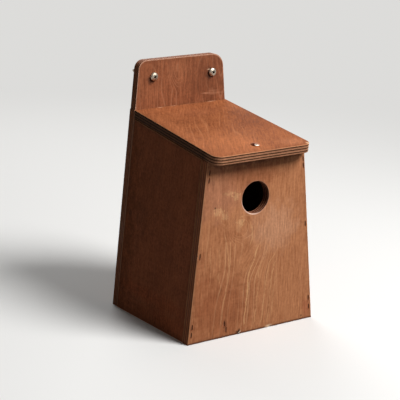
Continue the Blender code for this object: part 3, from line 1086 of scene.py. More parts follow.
wallPlaces = [screwPlaceOf(node, spin) for node, spin in zip(wallNodes, screw["wallTurns"])]
roofScrewPlace = shifted(screwPlace, 0, 0, carcass["jointGap"]) @ Matrix.Rotation(screw["roofTurn"], 4, "Z")
wallScrewMesh = turnScrews(
    "wallScrews", screw["wallShank"], screw["wallLength"], screw["wallHead"], wallPlaces,
)
roofScrewMesh = turnScrews(
    "roofScrew", screw["roofShank"], screw["roofLength"], screw["roofHead"], [roofScrewPlace],
)

nailRows = [(nail["headRadius"] * out, nail["headHeight"] * up, 0) for out, up in nail["headShares"]]
shank, reach = nail["shankRadius"], nail["length"]
taperFrom, tipFrom = nail["tip"]
nailRows += [(shank * nail["fillet"], 0, 0), (shank, -nail["filletHeight"], 0)]
nailRows += [(shank, -reach * share, 0) for share in (0.2, 0.4, 0.6, 0.8)]
nailRows += [(shank, taperFrom - reach, 0), (shank * 0.5, tipFrom - reach, 0), (0, -reach, 0)]
nailSeat = shifted(nailPlace, 0, 0, carcass["jointGap"])
notch = chipCutter((*nail["notch"], nail["headHeight"]), nail["notchRadii"], nail["notchSeed"])
nailMesh = turnFasteners("floorNail", nailRows, notch, [nailSeat], nail["sides"], nail["headHeight"], shank)

legX = staple["crown"] / 2 - staple["wireDepth"] / 2
crownY = -staple["wireDepth"] / 2
staplePath = [(-legX, -staple["leg"], 0), (-legX, crownY, 0), (legX, crownY, 0), (legX, -staple["leg"], 0)]


def bendStaples(name, places):
    values = {
        "Path": lineMesh(name + "Path", staplePath), "Wire width": staple["wireWidth"],
        "Wire depth": staple["wireDepth"], "Bend radius": staple["bend"],
    }
    mesh = grow(name, stapleTree, placePoints(name + "Places", places), values)
    return soften(outward(mesh, weld["fasteners"]), sharp["staples"])


frontStapleMesh = bendStaples("frontStaples", list(frontStaples.values()))
backStapleMesh = bendStaples("backStaples", list(backStaples.values()))
print("fasteners made")

# Finishes


def tint(colour):
    return (*colour, 1)


plyShades = {"long": 1.0, "end": 0.1, "blur": 0.013, "creep": 0.014}


def plyStops():
    # light where a ply's grain runs along the edge, dark where it is cut across
    bounds = (0.0,) + plyEdge["glueLines"] + (1.0,)
    blur = plyShades["blur"]
    stops = []
    for index in range(len(bounds) - 1):
        shade = plyShades["end"] if index % 2 else plyShades["long"]
        inset = blur + plyShades["creep"] * (1 if index % 2 else -1)
        stops.append((max(bounds[index] + inset, 0.0), shade))
        stops.append((min(bounds[index + 1] - inset, 1.0), shade))
    return stops


def boardSpace(g, place):
    # across, along and out of the face in metres, and how far the surface faces out
    point = g.add("ShaderNodeTexCoord", {}, {}, "Object")
    normal = g.add("ShaderNodeTexCoord", {}, {}, "Normal")
    origin = place.translation
    axes = [Vector(place.col[index][:3]) for index in range(3)]
    spots = [g.vector("DOT_PRODUCT", point, tuple(axis), "Value") - axis.dot(origin) for axis in axes]
    return (*spots, g.vector("DOT_PRODUCT", normal, tuple(axes[2]), "Value"))


def edgeDistance(g, across, along, corners):
    # distance inwards from a board's outline, its rounded corners included
    gaps = []
    for index, corner in enumerate(corners):
        follow = corners[(index + 1) % len(corners)]
        run = Vector((follow[0] - corner[0], follow[1] - corner[1])).normalized()
        inX, inY = -run.y, run.x
        gaps.append(across * inX + along * inY - (inX * corner[0] + inY * corner[1]))
    nearest = None
    for index, corner in enumerate(corners):
        radius = corner[4]
        first, second = gaps[index - 1], gaps[index]
        if radius == 0:
            gap = g.maths("MINIMUM", first, second)
        else:
            short = [g.maths("MAXIMUM", radius - side, 0.0) for side in (first, second)]
            gap = radius - g.length(g.combine(*short, 0.0))
        nearest = gap if nearest is None else g.maths("MINIMUM", nearest, gap)
    return g.maths("MAXIMUM", nearest, 0.0)


# noises: features to the metre across and along, seed shift, detail, roughness
pattern = {
    "bend": (13, 5, 0.0),
    "figured": (60, 8, 40.0),
    "fibre": (1100, 30, 1.0, 3.0, 0.65),
    "mottle": (120, 75, 19.0, 2.0, 0.6),
    "speck": (430, 360, 29.0, 2.0, 0.6),
    "blotch": (30, 18, 11.0, 3.0, 0.55),
    "ripple": (45, 300, 27.0),
    "rippled": (16, 11, 33.0),
    "porous": (45, 20, 23.0),
    "rubbed": (95, 95, 31.0, 3.0, 0.6),
    # these three get their features from the look
    "ring": (7.0,),
    "fleck": (5.0, 2.0, 0.6),
    "streak": (3.0, 3.0, 0.6),
}
# where a layer starts and where it is full, and for some how weak and how strong it is there
edgesOf = {
    "spot": (1.1, 0.25),
    "figured": (-0.14, 0.10),
    "rippled": (0.0, 0.1),
    "porous": (-0.08, 0.12),
    "pore": (0.2, 0.06),
    "unbroken": (-0.35, 0.05),
    "edge": (0.8, 0.5),
    "inner": (-0.5, -0.8),
    "lipHighlight": (0.0009, 0.0002),
    "lipDepth": (-0.0016, -0.0008),
    "lipBelow": (0.008, 0.0145, 0.12, 1.0),
}
# lengths in metres, and features to the metre
finish = {
    "poreCells": (820, 62),
    "speckle": 900,
    "strokeWander": (0.005, 0.003),
    "strokeEnds": (0.008, 0.012),
    # width of the painted shade near a board's outline
    "paintedEdgeShade": 0.006,
    "footWander": 0.0008,
    "plyWander": 0.00022,
    "boreWall": (0.0012, 0.0006),
    "lipMiddle": 0.0005,
    "lipWander": 0.0008,
    "lipWay": (0.57, 0.82),  # towards the lower left of the bore
    "lipPatches": 0.010,
    "relief": 0.0002,
}
# how much each layer counts in another
weight = {
    "unevenSpot": 1.2,
    "spotShade": (0.62, 0.76),
    "rubbedCore": 0.25,
    "footCore": 0.4,
    "edgeShade": (0.82, 0.6, 0.5, 0.5),
    "innerShade": (2, 0.6, 0.5, 0.3),
    "wallShade": 0.6,
    "rough": (0.3, 0.3, 0.1),
    "relief": (0.6, 0.5, 0.3, 0.2, 0.7),
    "edgeRelief": (0.9, 0.35),
}


def plyFinish(name, place, corners, look):
    material, g = newMaterial(name)
    across, along, out, facing = boardSpace(g, place)
    seed = look["seed"]

    def drawn(source, acrossPitch, alongPitch, shift, detail=2.0, rough=0.5):
        # noise about zero
        spot = g.combine(source * acrossPitch, along * alongPitch, seed + shift)
        return g.noise(spot, 1.0, detail, rough) - 0.5

    def nearness(oval, ragged):
        # 1 in the middle of a ragged oval spot and 0 outside it
        ovalAcross, ovalAlong, halfAcross, halfAlong = oval
        centred = g.combine((across - ovalAcross) / halfAcross, (along - ovalAlong) / halfAlong, 0.0)
        return g.ease(g.length(centred) + ragged, *edgesOf["spot"])

    # the grain wanders, leans aside in places and turns round small knots
    grain = across - along * look["skew"] + drawn(across, *pattern["bend"]) * look["wander"]
    for middle, half, low, high, reach in look["sweeps"]:
        bell = g.ease(g.maths("ABSOLUTE", across - middle), half, 0.0)
        grain = grain - g.ease(along, low, high) * bell * reach
    wound = drawn(grain, *look["ringPitch"], *pattern["ring"])
    turns = grain * look["rings"] + wound * look["ringTurns"]
    for *oval, push in look["knots"]:
        nested = push - (across - oval[0]) * look["rings"]
        turns = turns + nearness(oval, 0.0) * nested
    withinRing = g.maths("FRACT", turns) - 0.5
    figured = g.ease(drawn(grain, *pattern["figured"]), *edgesOf["figured"])
    for *oval, least in look["figure"]:
        figured = figured * (nearness(oval, 0.0) * (1 - least) + least)
    ring = g.ease(g.maths("ABSOLUTE", withinRing) * 2, look["ringWidth"], 1.0) * figured

    # flecks, streaks and the stain's uneven take-up
    fibre = drawn(grain, *pattern["fibre"])
    fleck = drawn(grain, *look["fleckPitch"], *pattern["fleck"])
    streak = drawn(grain, *look["streakPitch"], *pattern["streak"])
    mottle = drawn(across, *pattern["mottle"])
    speck = drawn(across, *pattern["speck"])
    blotch = drawn(across, *pattern["blotch"])
    rippled = g.ease(drawn(across, *pattern["rippled"]), *edgesOf["rippled"])
    ripple = drawn(across, *pattern["ripple"]) * rippled
    poreAcross, poreAlong = finish["poreCells"]
    poreSpot = g.combine(grain * poreAcross, along * poreAlong, seed)
    cells = g.add("ShaderNodeTexVoronoi", {}, {"Vector": poreSpot, "Scale": 1.0})
    porous = g.ease(drawn(across, *pattern["porous"]), *edgesOf["porous"])
    pores = g.ease(cells, *edgesOf["pore"]) * porous

    value = 0.5 + fleck * look["fleck"] + streak * look["streak"] + fibre * look["fibre"]
    value = value + mottle * look["mottle"] + blotch * look["blotch"] + ripple * look["ripple"]
    value = value + speck * look["speck"] + withinRing * figured * look["ringSlope"]
    colour = g.mix(value, tint(look["tones"][0]), tint(look["tones"][1]))
    colour = g.mix(ring * look["ring"], colour, tint(look["ringTone"]))
    colour = g.mix(pores * look["pores"], colour, tint(look["poreAndShadeTone"]))

    # single marks: soft or ragged spots, then long grain lines
    least, more = weight["spotShade"]
    for *oval, ragged, tone, share in look["spots"]:
        uneven = mottle * weight["unevenSpot"]
        if ragged:
            uneven = uneven + speck * ragged
        colour = g.mix(nearness(oval, uneven) * share, colour, g.shade(tone, least + value * more))
    for points, width, tone, share in look["strokes"]:
        low, high = points[0][1], points[-1][1]
        middle = points[0][0]
        for (before, start), (after, end) in zip(points, points[1:]):
            middle = middle + g.ramp(along, start, end) * (after - before)
        fine, broad = finish["strokeWander"]
        lowRun, highRun = finish["strokeEnds"]
        gap = g.maths("ABSOLUTE", across - middle + mottle * fine + blotch * broad)
        fade = g.ease(along, low, low + lowRun) * g.ease(along, high, high - highRun)
        drawnLine = g.ease(gap, width, 0.0) * fade * g.ease(speck + mottle, *edgesOf["unbroken"])
        colour = g.mix(drawnLine * share, colour, tint(tone))

    # the arrises are rubbed pale, more in some places than in others; painted shade darkens the face near
    # its outline and along its foot
    gap = edgeDistance(g, across, along, corners)
    outerCorner = g.length(g.combine(gap, out, 0.0))
    innerCorner = g.length(g.combine(gap, out + ply, 0.0))
    rubbed = drawn(across, *pattern["rubbed"])
    corner = g.maths("MINIMUM", outerCorner, innerCorner) + rubbed * look["rubRagged"]
    wear = g.ease(corner, look["rubWidth"], look["rubWidth"] * weight["rubbedCore"]) * look["rub"]
    # painted shade: the face darkens towards its outline, where boards meet
    paintedEdgeShade = g.ease(gap + blotch * finish["paintedEdgeShade"], finish["paintedEdgeShade"], 0.0) * look["paintedEdgeShade"]
    colour = g.shade(colour, 1 - paintedEdgeShade)
    # painted shade: a dark line along the foot of the board, in the pore tone
    footShadeBand = look["footLine"], look["footLine"] * weight["footCore"]
    foot = g.ease(along + speck * finish["footWander"], *footShadeBand) * look["footDark"]
    colour = g.mix(foot, colour, tint(look["poreAndShadeTone"]))
    face = g.mix(wear * (1 - foot), colour, tint(look["worn"]))

    # the sawn edge shows its seven plies, a bore's wall takes a darker stain, and the lower left of its rim
    # gets a painted highlight
    share = (look["plyShift"] - out + mottle * finish["plyWander"]) / ply
    bands = g.add("ShaderNodeValToRGB", {"stops": plyStops()}, {"Fac": share})
    speckle = g.noise(g.combine(*[way * finish["speckle"] for way in (across, along, out)]), 1.0, 2.0, 0.7)
    edge = g.mix(bands, tint(look["edge"][0]), tint(look["edge"][1]))
    base, grainy, mottled, broad = weight["edgeShade"]
    edge = g.shade(edge, base + (speckle - 0.5) * grainy + mottle * mottled + blotch * broad)
    # painted shade on the edges, by how far along the board they are
    edge = g.shade(edge, g.ease(along, *look["edgeShadeAlong"]))
    edge = g.mix(wear * look["edgeWear"], edge, tint(look["worn"]))
    for *oval, ragged, tone, share in look["bare"]:
        bare = nearness(oval, speck * ragged + mottle) * share
        face = g.mix(bare, face, tint(tone))
        edge = g.mix(bare, edge, g.mix(bands, tint(look["poreAndShadeTone"]), tint(tone)))
    broad, grainy, striped, ringed = weight["innerShade"]
    inner = g.mix(0.5 + blotch * broad, tint(look["inner"][0]), tint(look["inner"][1]))
    inner = g.shade(inner, 1 + fleck * grainy + streak * striped + ring * ringed)
    for boreAcross, boreAlong, radius, wall, lipHighlight, lipWeight in look["bores"]:
        distance = g.length(g.combine(across - boreAcross, along - boreAlong, 0.0))
        onWall = g.ease(distance, *[radius + beyond for beyond in finish["boreWall"]])
        edge = g.mix(onWall, edge, g.shade(wall, 1 + speckle * weight["wallShade"]))
        fromLip = g.maths("ABSOLUTE", distance - radius - finish["lipMiddle"])
        onLipHighlight = g.ease(fromLip + rubbed * finish["lipWander"], *edgesOf["lipHighlight"])
        wayAcross, wayAlong = finish["lipWay"]
        below = (boreAlong - along) * wayAlong + (boreAcross - across) * wayAcross
        below = below + rubbed * finish["lipPatches"]
        onLipHighlight = onLipHighlight * g.ease(out, *edgesOf["lipDepth"]) * g.ease(below, *edgesOf["lipBelow"])
        # painted highlight along the lower left of the bore's rim
        face = g.mix(onLipHighlight * lipWeight, face, tint(lipHighlight))
        edge = g.mix(onLipHighlight * lipWeight, edge, tint(lipHighlight))
    isEdge = g.ease(g.maths("ABSOLUTE", facing), *edgesOf["edge"])
    isInner = g.ease(facing, *edgesOf["inner"])
    shown = g.mix(isInner, g.mix(isEdge, face, edge), inner)

    byFleck, byBlotch, byWear = weight["rough"]
    rough = look["roughness"] + fleck * byFleck + blotch * byBlotch + wear * byWear
    # the grain stands up on the faces, and the plies do on the edges
    byFibre, byFleck, byStreak, byRing, byPore = weight["relief"]
    grainy, banded = weight["edgeRelief"]
    height = fibre * byFibre + fleck * byFleck + streak * byStreak + ring * byRing - pores * byPore
    height = height + isEdge * (speckle * grainy + bands * banded)
    bump = g.bump(height, look["bump"], finish["relief"])
    sockets = {"Base Color": shown, "Roughness": rough, "Normal": bump, "Specular IOR Level": look["gloss"]}
    endMaterial(g, g.add("ShaderNodeBsdfPrincipled", {}, sockets))
    return material


stain = {
    "seed": 1.0,
    "wander": 0.010,
    "skew": 0.0,
    "sweeps": (),  # middle, half width, from height, to height, reach
    "knots": (),  # across, along, half sizes, push
    "rings": 165.0,
    "ringPitch": (15, 3.5),
    "ringTurns": 7.0,
    "ringWidth": 0.72,
    "ringSlope": 0.25,
    "figure": (),  # across, along, half sizes, how much figure is left outside
    "ring": 0.7,
    "ringTone": (0.68, 0.34, 0.165),
    "fleckPitch": (620, 75),
    "fleck": 1.4,
    "streakPitch": (360, 11),
    "streak": 0.85,
    "fibre": 0.5,
    "mottle": 0.25,
    "speck": 0.75,
    "blotch": 0.32,
    "ripple": 0.7,
    "pores": 0.4,
    "poreAndShadeTone": (0.09, 0.028, 0.014),
    "spots": (),  # across, along, half sizes, raggedness, tone, weight
    "bare": (),  # the same, for wood that shows through on faces and edges
    "strokes": (),  # points of (across, along) from the foot up, width, tone, weight
    # a bore's lip tone is a painted highlight on its rim
    "bores": (),  # across, along, radius, wall tone, lip tone, lip weight
    "worn": (0.58, 0.28, 0.14),
    "rub": 0.65,
    "rubWidth": 0.0011,
    "rubRagged": 0.0012,
    "edgeWear": 0.5,
    # strength of the painted shade near a board's outline
    "paintedEdgeShade": 0.12,
    # width and strength of the painted shade line along the foot
    "footLine": 0.0024,
    "footDark": 0.0,
    "edge": ((0.16, 0.046, 0.018), (0.46, 0.145, 0.052)),
    "plyShift": 0.0,
    # painted shade on the edges along the board
    "edgeShadeAlong": (1.0, 2.0, 1.0, 1.0),  # from along, to along, shade before, shade after
    "inner": ((0.13, 0.052, 0.026), (0.22, 0.10, 0.05)),
    "roughness": 0.66,
    "bump": 0.5,
    "gloss": 0.16,
}

palePink = (0.60, 0.305, 0.175)
pinkWood = (0.40, 0.163, 0.092)
redWood = (0.36, 0.10, 0.045)
# a rust tone, also used for painted shade under the roof
rustAndShade = (0.28, 0.080, 0.030)
deepWood = (0.24, 0.075, 0.034)
straw = (0.66, 0.35, 0.165)
dark = (0.05, 0.018, 0.010)
frontLook = dict(
    # footDark turns on the painted shade line along the front board's foot
    stain, seed=2.0, tones=((0.305, 0.103, 0.040), (0.570, 0.242, 0.108)), footDark=0.85,
    figure=((-0.020, 0.050, 0.064, 0.088, 0.10),),
    sweeps=((0.004, 0.034, 0.050, 0.092, 0.015), (-0.030, 0.020, 0.020, 0.075, 0.005)),
    knots=((-0.0165, 0.1085, 0.019, 0.015, 3.0), (-0.040, 0.128, 0.020, 0.013, 1.8)),
    rings=150.0, ring=0.72, ringTurns=6.0, ringTone=(0.70, 0.37, 0.185),
    spots=(
        (-0.043, 0.146, 0.040, 0.034, 0, pinkWood, 0.55),
        (-0.038, 0.028, 0.052, 0.050, 0, rustAndShade, 0.62),
        (-0.062, 0.060, 0.022, 0.050, 0, rustAndShade, 0.30),
        (0.024, 0.104, 0.036, 0.032, 0, palePink, 0.55),
        (-0.030, 0.104, 0.020, 0.008, 0.6, rustAndShade, 0.30),
        (-0.0235, 0.1415, 0.0052, 0.0044, 4.0, straw, 0.72),
        (-0.0310, 0.1450, 0.0060, 0.0030, 4.0, straw, 0.50),
        (-0.0170, 0.1150, 0.0050, 0.0052, 4.0, straw, 0.70),
        (-0.0440, 0.1285, 0.0080, 0.0048, 4.0, straw, 0.62),
        (-0.0370, 0.1235, 0.0060, 0.0040, 4.0, straw, 0.50),
        (-0.0477, 0.1331, 0.0012, 0.0012, 0, dark, 0.8),
        (0.0633, 0.0044, 0.0022, 0.0018, 1.0, dark, 0.55),
        (0.0690, 0.0120, 0.0060, 0.0180, 0.5, redWood, 0.55),
        (-0.0325, 0.0120, 0.0030, 0.0075, 1.5, dark, 0.35),
        (-0.0180, 0.0028, 0.0022, 0.0020, 0.6, dark, 0.65),
        (-0.0150, 0.0048, 0.0018, 0.0016, 0.6, dark, 0.60),
        # painted shade under the roof's overhang: a darker patch below the top, then two dark bands along
        # the top edge
        (-0.0020, 0.1600, 0.0460, 0.0200, 0, rustAndShade, 0.50),
        (0.0, 0.1750, 0.085, 0.0052, 0.3, dark, 0.62),
        (0.0, 0.1785, 0.085, 0.0024, 0.2, (0.022, 0.004, 0.001), 0.8),
    ),
    bare=((0.0212, 0.0012, 0.0050, 0.0026, 0.4, (0.82, 0.56, 0.36), 1.0),),
    strokes=(
        (((-0.0100, 0.004), (-0.0090, 0.015), (-0.0078, 0.027), (-0.0066, 0.044), (-0.0060, 0.056),
          (-0.0045, 0.064), (-0.0010, 0.071), (0.0022, 0.079), (0.0055, 0.087), (0.0105, 0.095)),
         0.0013, straw, 0.90),
        (((-0.0375, 0.010), (-0.0362, 0.026), (-0.0335, 0.044), (-0.0310, 0.060), (-0.0300, 0.076),
          (-0.0318, 0.090), (-0.0350, 0.101), (-0.0370, 0.112)), 0.0011, straw, 0.42),
        (((0.0030, 0.003), (0.0042, 0.014), (0.0052, 0.030), (0.0066, 0.046), (0.0074, 0.060),
          (0.0102, 0.070), (0.0138, 0.078), (0.0215, 0.091)), 0.0010, straw, 0.52),
        (((0.0100, 0.002), (0.0125, 0.014), (0.0142, 0.028), (0.0160, 0.046), (0.0180, 0.060),
          (0.0200, 0.068), (0.0262, 0.075), (0.0300, 0.084)), 0.0010, straw, 0.55),
        (((0.0198, 0.002), (0.0203, 0.018), (0.0215, 0.034), (0.0225, 0.046), (0.0240, 0.059),
          (0.0262, 0.067), (0.0310, 0.077)), 0.0010, straw, 0.50),
        (((0.0240, 0.010), (0.0258, 0.030), (0.0275, 0.046), (0.0292, 0.060)), 0.0010, straw, 0.36),
        (((-0.0525, 0.052), (-0.0515, 0.072), (-0.0520, 0.088), (-0.0530, 0.102)), 0.0011, straw, 0.34),
        (((-0.0405, 0.044), (-0.0395, 0.054), (-0.0418, 0.064), (-0.0408, 0.080), (-0.0430, 0.098)),
         0.0010, straw, 0.32),
        (((-0.0060, 0.086), (-0.0028, 0.095), (-0.0026, 0.104), (-0.0055, 0.116)), 0.0012, straw, 0.70),
    ),
    # the entrance's pale lip is a painted highlight
    bores=(
        (0.0, entranceHeight, frontBoard["entranceRadius"], (0.060, 0.017, 0.009), (0.80, 0.55, 0.44), 0.75),
    ),
)
roofLook = dict(
    stain, seed=5.0, tones=((0.190, 0.053, 0.019), (0.420, 0.141, 0.054)), rings=150.0, ringTurns=13.0,
    ring=0.42, ringTone=(0.54, 0.215, 0.092), blotch=0.8, ripple=0.4, worn=(0.60, 0.25, 0.11),
    wander=0.012, skew=0.60, fleckPitch=(560, 90), streakPitch=(300, 12), streak=0.6,
    plyShift=0.0004,
    edge=((0.028, 0.006, 0.001), (0.50, 0.232, 0.124)), edgeWear=0.1,
    # the roof's side edges get painted shade, its front edge none
    edgeShadeAlong=(-0.136, -0.122, 1.0, 0.38), figure=((-0.012, -0.085, 0.050, 0.070, 0.25),),
    gloss=0.08, roughness=0.75,
    spots=(
        (-0.016, -0.112, 0.048, 0.036, 0.4, (0.43, 0.145, 0.056), 0.60),
        (0.042, -0.132, 0.018, 0.012, 0.4, (0.46, 0.170, 0.075), 0.60),
        (-0.016, -0.044, 0.030, 0.020, 0.5, (0.21, 0.062, 0.024), 0.50),
        (0.040, -0.066, 0.026, 0.040, 0.5, (0.21, 0.062, 0.024), 0.62),
        (0.010, -0.026, 0.044, 0.014, 0.5, deepWood, 0.35),
        (-0.046, -0.060, 0.010, 0.060, 0.4, (0.39, 0.130, 0.052), 0.45),
    ),
    bare=(
        (0.0540, -0.1408, 0.0030, 0.0034, 0.6, (0.78, 0.50, 0.30), 0.85),
        (-0.0262, -0.0009, 0.0046, 0.0016, 0.6, (0.66, 0.34, 0.20), 0.75),
        (-0.0110, -0.0009, 0.0050, 0.0014, 0.8, (0.62, 0.30, 0.17), 0.60),
        (0.0060, -0.0008, 0.0040, 0.0012, 0.8, (0.60, 0.28, 0.15), 0.45),
        (0.0370, -0.0009, 0.0064, 0.0016, 0.6, (0.68, 0.36, 0.21), 0.80),
    ),
)
backLook = dict(
    stain, seed=9.0, tones=((0.155, 0.045, 0.018), (0.365, 0.122, 0.052)), ringTurns=16.0,
    ringPitch=(22, 5), ring=0.62, ringTone=(0.42, 0.175, 0.090), ripple=0.5,
    worn=(0.66, 0.38, 0.26), rub=0.6, rubWidth=0.0012, rings=160.0,
    edge=((0.100, 0.029, 0.011), (0.36, 0.125, 0.048)),
    knots=((-0.0018, 0.2430, 0.016, 0.024, 3.2), (0.012, 0.222, 0.010, 0.018, 1.5)),
    spots=(
        (0.030, 0.226, 0.030, 0.034, 0.2, (0.170, 0.052, 0.022), 0.70),
        (-0.002, 0.238, 0.016, 0.016, 0.3, (0.34, 0.125, 0.056), 0.35),
        (-0.030, 0.216, 0.020, 0.014, 0.3, (0.34, 0.115, 0.050), 0.35),
        (0.0306, 0.2132, 0.0070, 0.0014, 0, (0.50, 0.22, 0.12), 0.50),
        (0.0440, 0.2124, 0.0110, 0.0019, 0.6, (0.44, 0.19, 0.10), 0.45),
        (0.0400, 0.2150, 0.0100, 0.0012, 0.8, (0.42, 0.18, 0.095), 0.32),
        # painted shadows cast by the two wall screw heads, below and left of each
        (-0.0375, 0.2335, 0.0056, 0.0056, 0.4, dark, 0.75),
        (0.0348, 0.2318, 0.0050, 0.0060, 0.4, dark, 0.75),
        (0.0343, 0.2378, 0.0026, 0.0010, 0.3, (0.62, 0.42, 0.28), 0.9),
        (0.0357, 0.2388, 0.0013, 0.0013, 0.2, dark, 0.95),
        (0.0346, 0.2358, 0.0015, 0.0018, 0.2, dark, 0.9),
    ),
)
# both side boards are darker than the front; part of that is their stain and part is painted shade
leftLook = dict(
    stain, seed=13.0, tones=((0.236, 0.067, 0.026), (0.402, 0.120, 0.051)), paintedEdgeShade=0.2,
    ring=0.06, ringSlope=0.05, gloss=0.08, roughness=0.75, blotch=1.3, mottle=1.1, speck=1.8, streak=0.4,
    spots=(
        (0.062, 0.028, 0.110, 0.010, 0.8, (0.40, 0.095, 0.034), 0.45),
        (0.110, 0.010, 0.060, 0.014, 0.8, (0.42, 0.100, 0.036), 0.40),
        (0.040, 0.120, 0.030, 0.050, 0.6, (0.21, 0.064, 0.026), 0.45),
        (0.004, 0.090, 0.032, 0.150, 0.4, (0.190, 0.052, 0.016), 0.80),
        (0.118, 0.090, 0.030, 0.060, 0.6, (0.38, 0.112, 0.049), 0.35),
    ),
)
rightLook = dict(
    stain, seed=17.0, tones=((0.235, 0.068, 0.028), (0.42, 0.132, 0.056)), paintedEdgeShade=0.2,
    ring=0.26, ringSlope=0.10, ringTurns=13.0, ringPitch=(20, 4.5), wander=0.016,
    ringTone=(0.50, 0.20, 0.095), blotch=0.8, mottle=0.6, speck=1.0, streak=0.5, gloss=0.08, roughness=0.75,
    figure=((-0.075, 0.080, 0.050, 0.075, 0.12),),
    knots=((-0.052, 0.118, 0.016, 0.020, 2.4),),
)
floorLook = dict(
    stain, seed=21.0, tones=((0.36, 0.20, 0.10), (0.54, 0.34, 0.18)), worn=(0.6, 0.42, 0.25),
    ringTone=(0.58, 0.36, 0.19), inner=((0.36, 0.20, 0.10), (0.46, 0.28, 0.15)),
    edge=((0.2, 0.12, 0.07), (0.5, 0.33, 0.19)), roughness=0.75, poreAndShadeTone=(0.2, 0.11, 0.06),
)

tabCorners = tuple(backCorners()[index] for index in (0, 1, 4, 5))
frontWood = plyFinish("frontWood", frontPlace, frontCorners(), frontLook)
roofWood = plyFinish("roofWood", roofPlace, roofCorners, roofLook)
backWood = plyFinish("backWood", backPlace, tabCorners, backLook)
leftWood = plyFinish("leftSideWood", leftPlace, leftCorners, leftLook)
rightWood = plyFinish("rightSideWood", rightPlace, rightCorners, rightLook)
floorWood = plyFinish("floorWood", floorPlace, floorCorners, floorLook)


metal = {
    "patina": (420.0, 3.0, 0.6),  # features to the metre, detail, roughness
    "dulled": (0.4, 0.7),
    "roughened": (0.45, 0.7),
    "scratch": (900, 300, 4200, 500),
    "pits": (2600.0, 2.0),
    "pitted": (0.62, 0.74),
    "stainWander": 0.001,
    "bump": 0.3,
    "relief": 0.00006,
}


def metalFinish(name, look):
    material, g = newMaterial(name)
    point = g.add("ShaderNodeTexCoord", {}, {}, "Object")
    x, y, z = g.split(point)
    patina = g.noise(point, *metal["patina"])
    wide, slant, fine, deep = metal["scratch"]
    scratch = g.noise(g.combine(x * wide + z * slant, z * fine, y * deep), 1.0, 2.0, 0.5)
    pits = g.ease(g.noise(point, *metal["pits"]), *metal["pitted"])
    grime = g.add("ShaderNodeAttribute", {"attribute_name": "grime"}, {}, "Fac")
    colour = g.mix(g.ease(patina, *metal["dulled"]), tint(look["bright"]), tint(look["dull"]))
    colour = g.shade(colour, 1 - pits * 0.4)
    colour = g.mix(grime, colour, tint(look["grime"]))
    # stains over the metal, and painted shade where a flank is darkened
    for spot, way, low, high, tone in look["stainsAndShade"]:
        along = g.vector("DOT_PRODUCT", g.vector("SUBTRACT", point, spot), way, "Value")
        stainsAndShade = g.ease(along + (patina - 0.5) * metal["stainWander"], low, high)
        colour = g.mix(stainsAndShade, colour, tint(tone))
        grime = g.maths("MAXIMUM", grime, stainsAndShade)
    roughened = g.ease(patina, *metal["roughened"])
    rough = look["roughness"] + (scratch - 0.5) * 0.2 + roughened * 0.2 + grime * 0.35
    bump = g.bump(scratch * 0.6 - pits, metal["bump"], metal["relief"])
    metallic = look["metallic"] * (1 - grime * 0.9)
    sockets = {"Base Color": colour, "Roughness": rough, "Normal": bump, "Metallic": metallic}
    sockets["Specular IOR Level"] = look["gloss"]
    endMaterial(g, g.add("ShaderNodeBsdfPrincipled", {}, sockets))
    return material


screwLook = {
    "bright": (0.62, 0.54, 0.43), "dull": (0.27, 0.22, 0.17), "grime": (0.022, 0.013, 0.009),
    "roughness": 0.42, "metallic": 1.0, "gloss": 0.5,
    "stainsAndShade": (),  # centre, direction, from, to, tone
}
roofScrewMiddle = tuple(roofScrewPlace.translation)
roofScrewLook = dict(
    screwLook, bright=(0.92, 0.76, 0.64), dull=(0.62, 0.46, 0.35), grime=(0.20, 0.075, 0.040), gloss=0.08,
    stainsAndShade=(
        (roofScrewMiddle, (0.58, 0.81, 0.0), -0.0024, -0.0013, (0.40, 0.150, 0.075)),
        # painted shade on the left flank of the head
        (roofScrewMiddle, (-0.81, 0.58, 0.0), 0.0003, 0.0010, (0.080, 0.015, 0.006)),
        (roofScrewMiddle, (0.58, 0.81, 0.0), -0.0006, 0.0003, (0.42, 0.160, 0.080)),
        (roofScrewMiddle, (-0.81, 0.58, 0.0), 0.0028, 0.0034, (0.42, 0.160, 0.080)),
    ),
)
stapleLook = dict(
    screwLook, bright=(0.08, 0.033, 0.019), dull=(0.035, 0.014, 0.008), roughness=0.55, metallic=0.4,
)
nailStain = (tuple(nailSeat.translation), (-0.35, 0.0, 0.94), -0.0003, 0.0004, (0.070, 0.026, 0.014))
nailLook = dict(
    screwLook, bright=(0.46, 0.36, 0.27), dull=(0.24, 0.15, 0.09), roughness=0.45, metallic=0.9, gloss=0.2,
    stainsAndShade=(nailStain,),
)
screwSteel = metalFinish("zincScrew", screwLook)
roofSteel = metalFinish("stainedScrew", roofScrewLook)
stapleSteel = metalFinish("stainedStaple", stapleLook)
nailSteel = metalFinish("dullNail", nailLook)
print("finishes mixed")

# Every piece on its body

frontNodes, backNodes = sorted(frontStaples), sorted(backStaples)
addPiece("frontBoard", frontMesh, frontWood, "nest_box", ["front_panel"])
addPiece("leftSideBoard", leftMesh, leftWood, "nest_box", ["left_side_panel"])
addPiece("rightSideBoard", rightMesh, rightWood, "nest_box", ["right_side_panel"])
addPiece("backBoard", backMesh, backWood, "nest_box", ["back_panel"])
addPiece("floorBoard", floorPly, floorWood, "nest_box", ["floor_panel"])
addPiece("roofBoard", roofMesh, roofWood, "roof", ["roof_panel"])
addPiece("wallScrews", wallScrewMesh, screwSteel, "nest_box", wallNodes)
addPiece("roofScrew", roofScrewMesh, roofSteel, "roof_screw", ["roof_screw"])
addPiece("frontStaples", frontStapleMesh, stapleSteel, "nest_box", frontNodes)
addPiece("backStaples", backStapleMesh, stapleSteel, "nest_box", backNodes)
addPiece("floorNail", nailMesh, nailSteel, "nest_box", ["floor_nail"])
print("pieces placed")

# Studio: a pale floor, a soft key from the front right, a weaker lamp behind, a faint sky

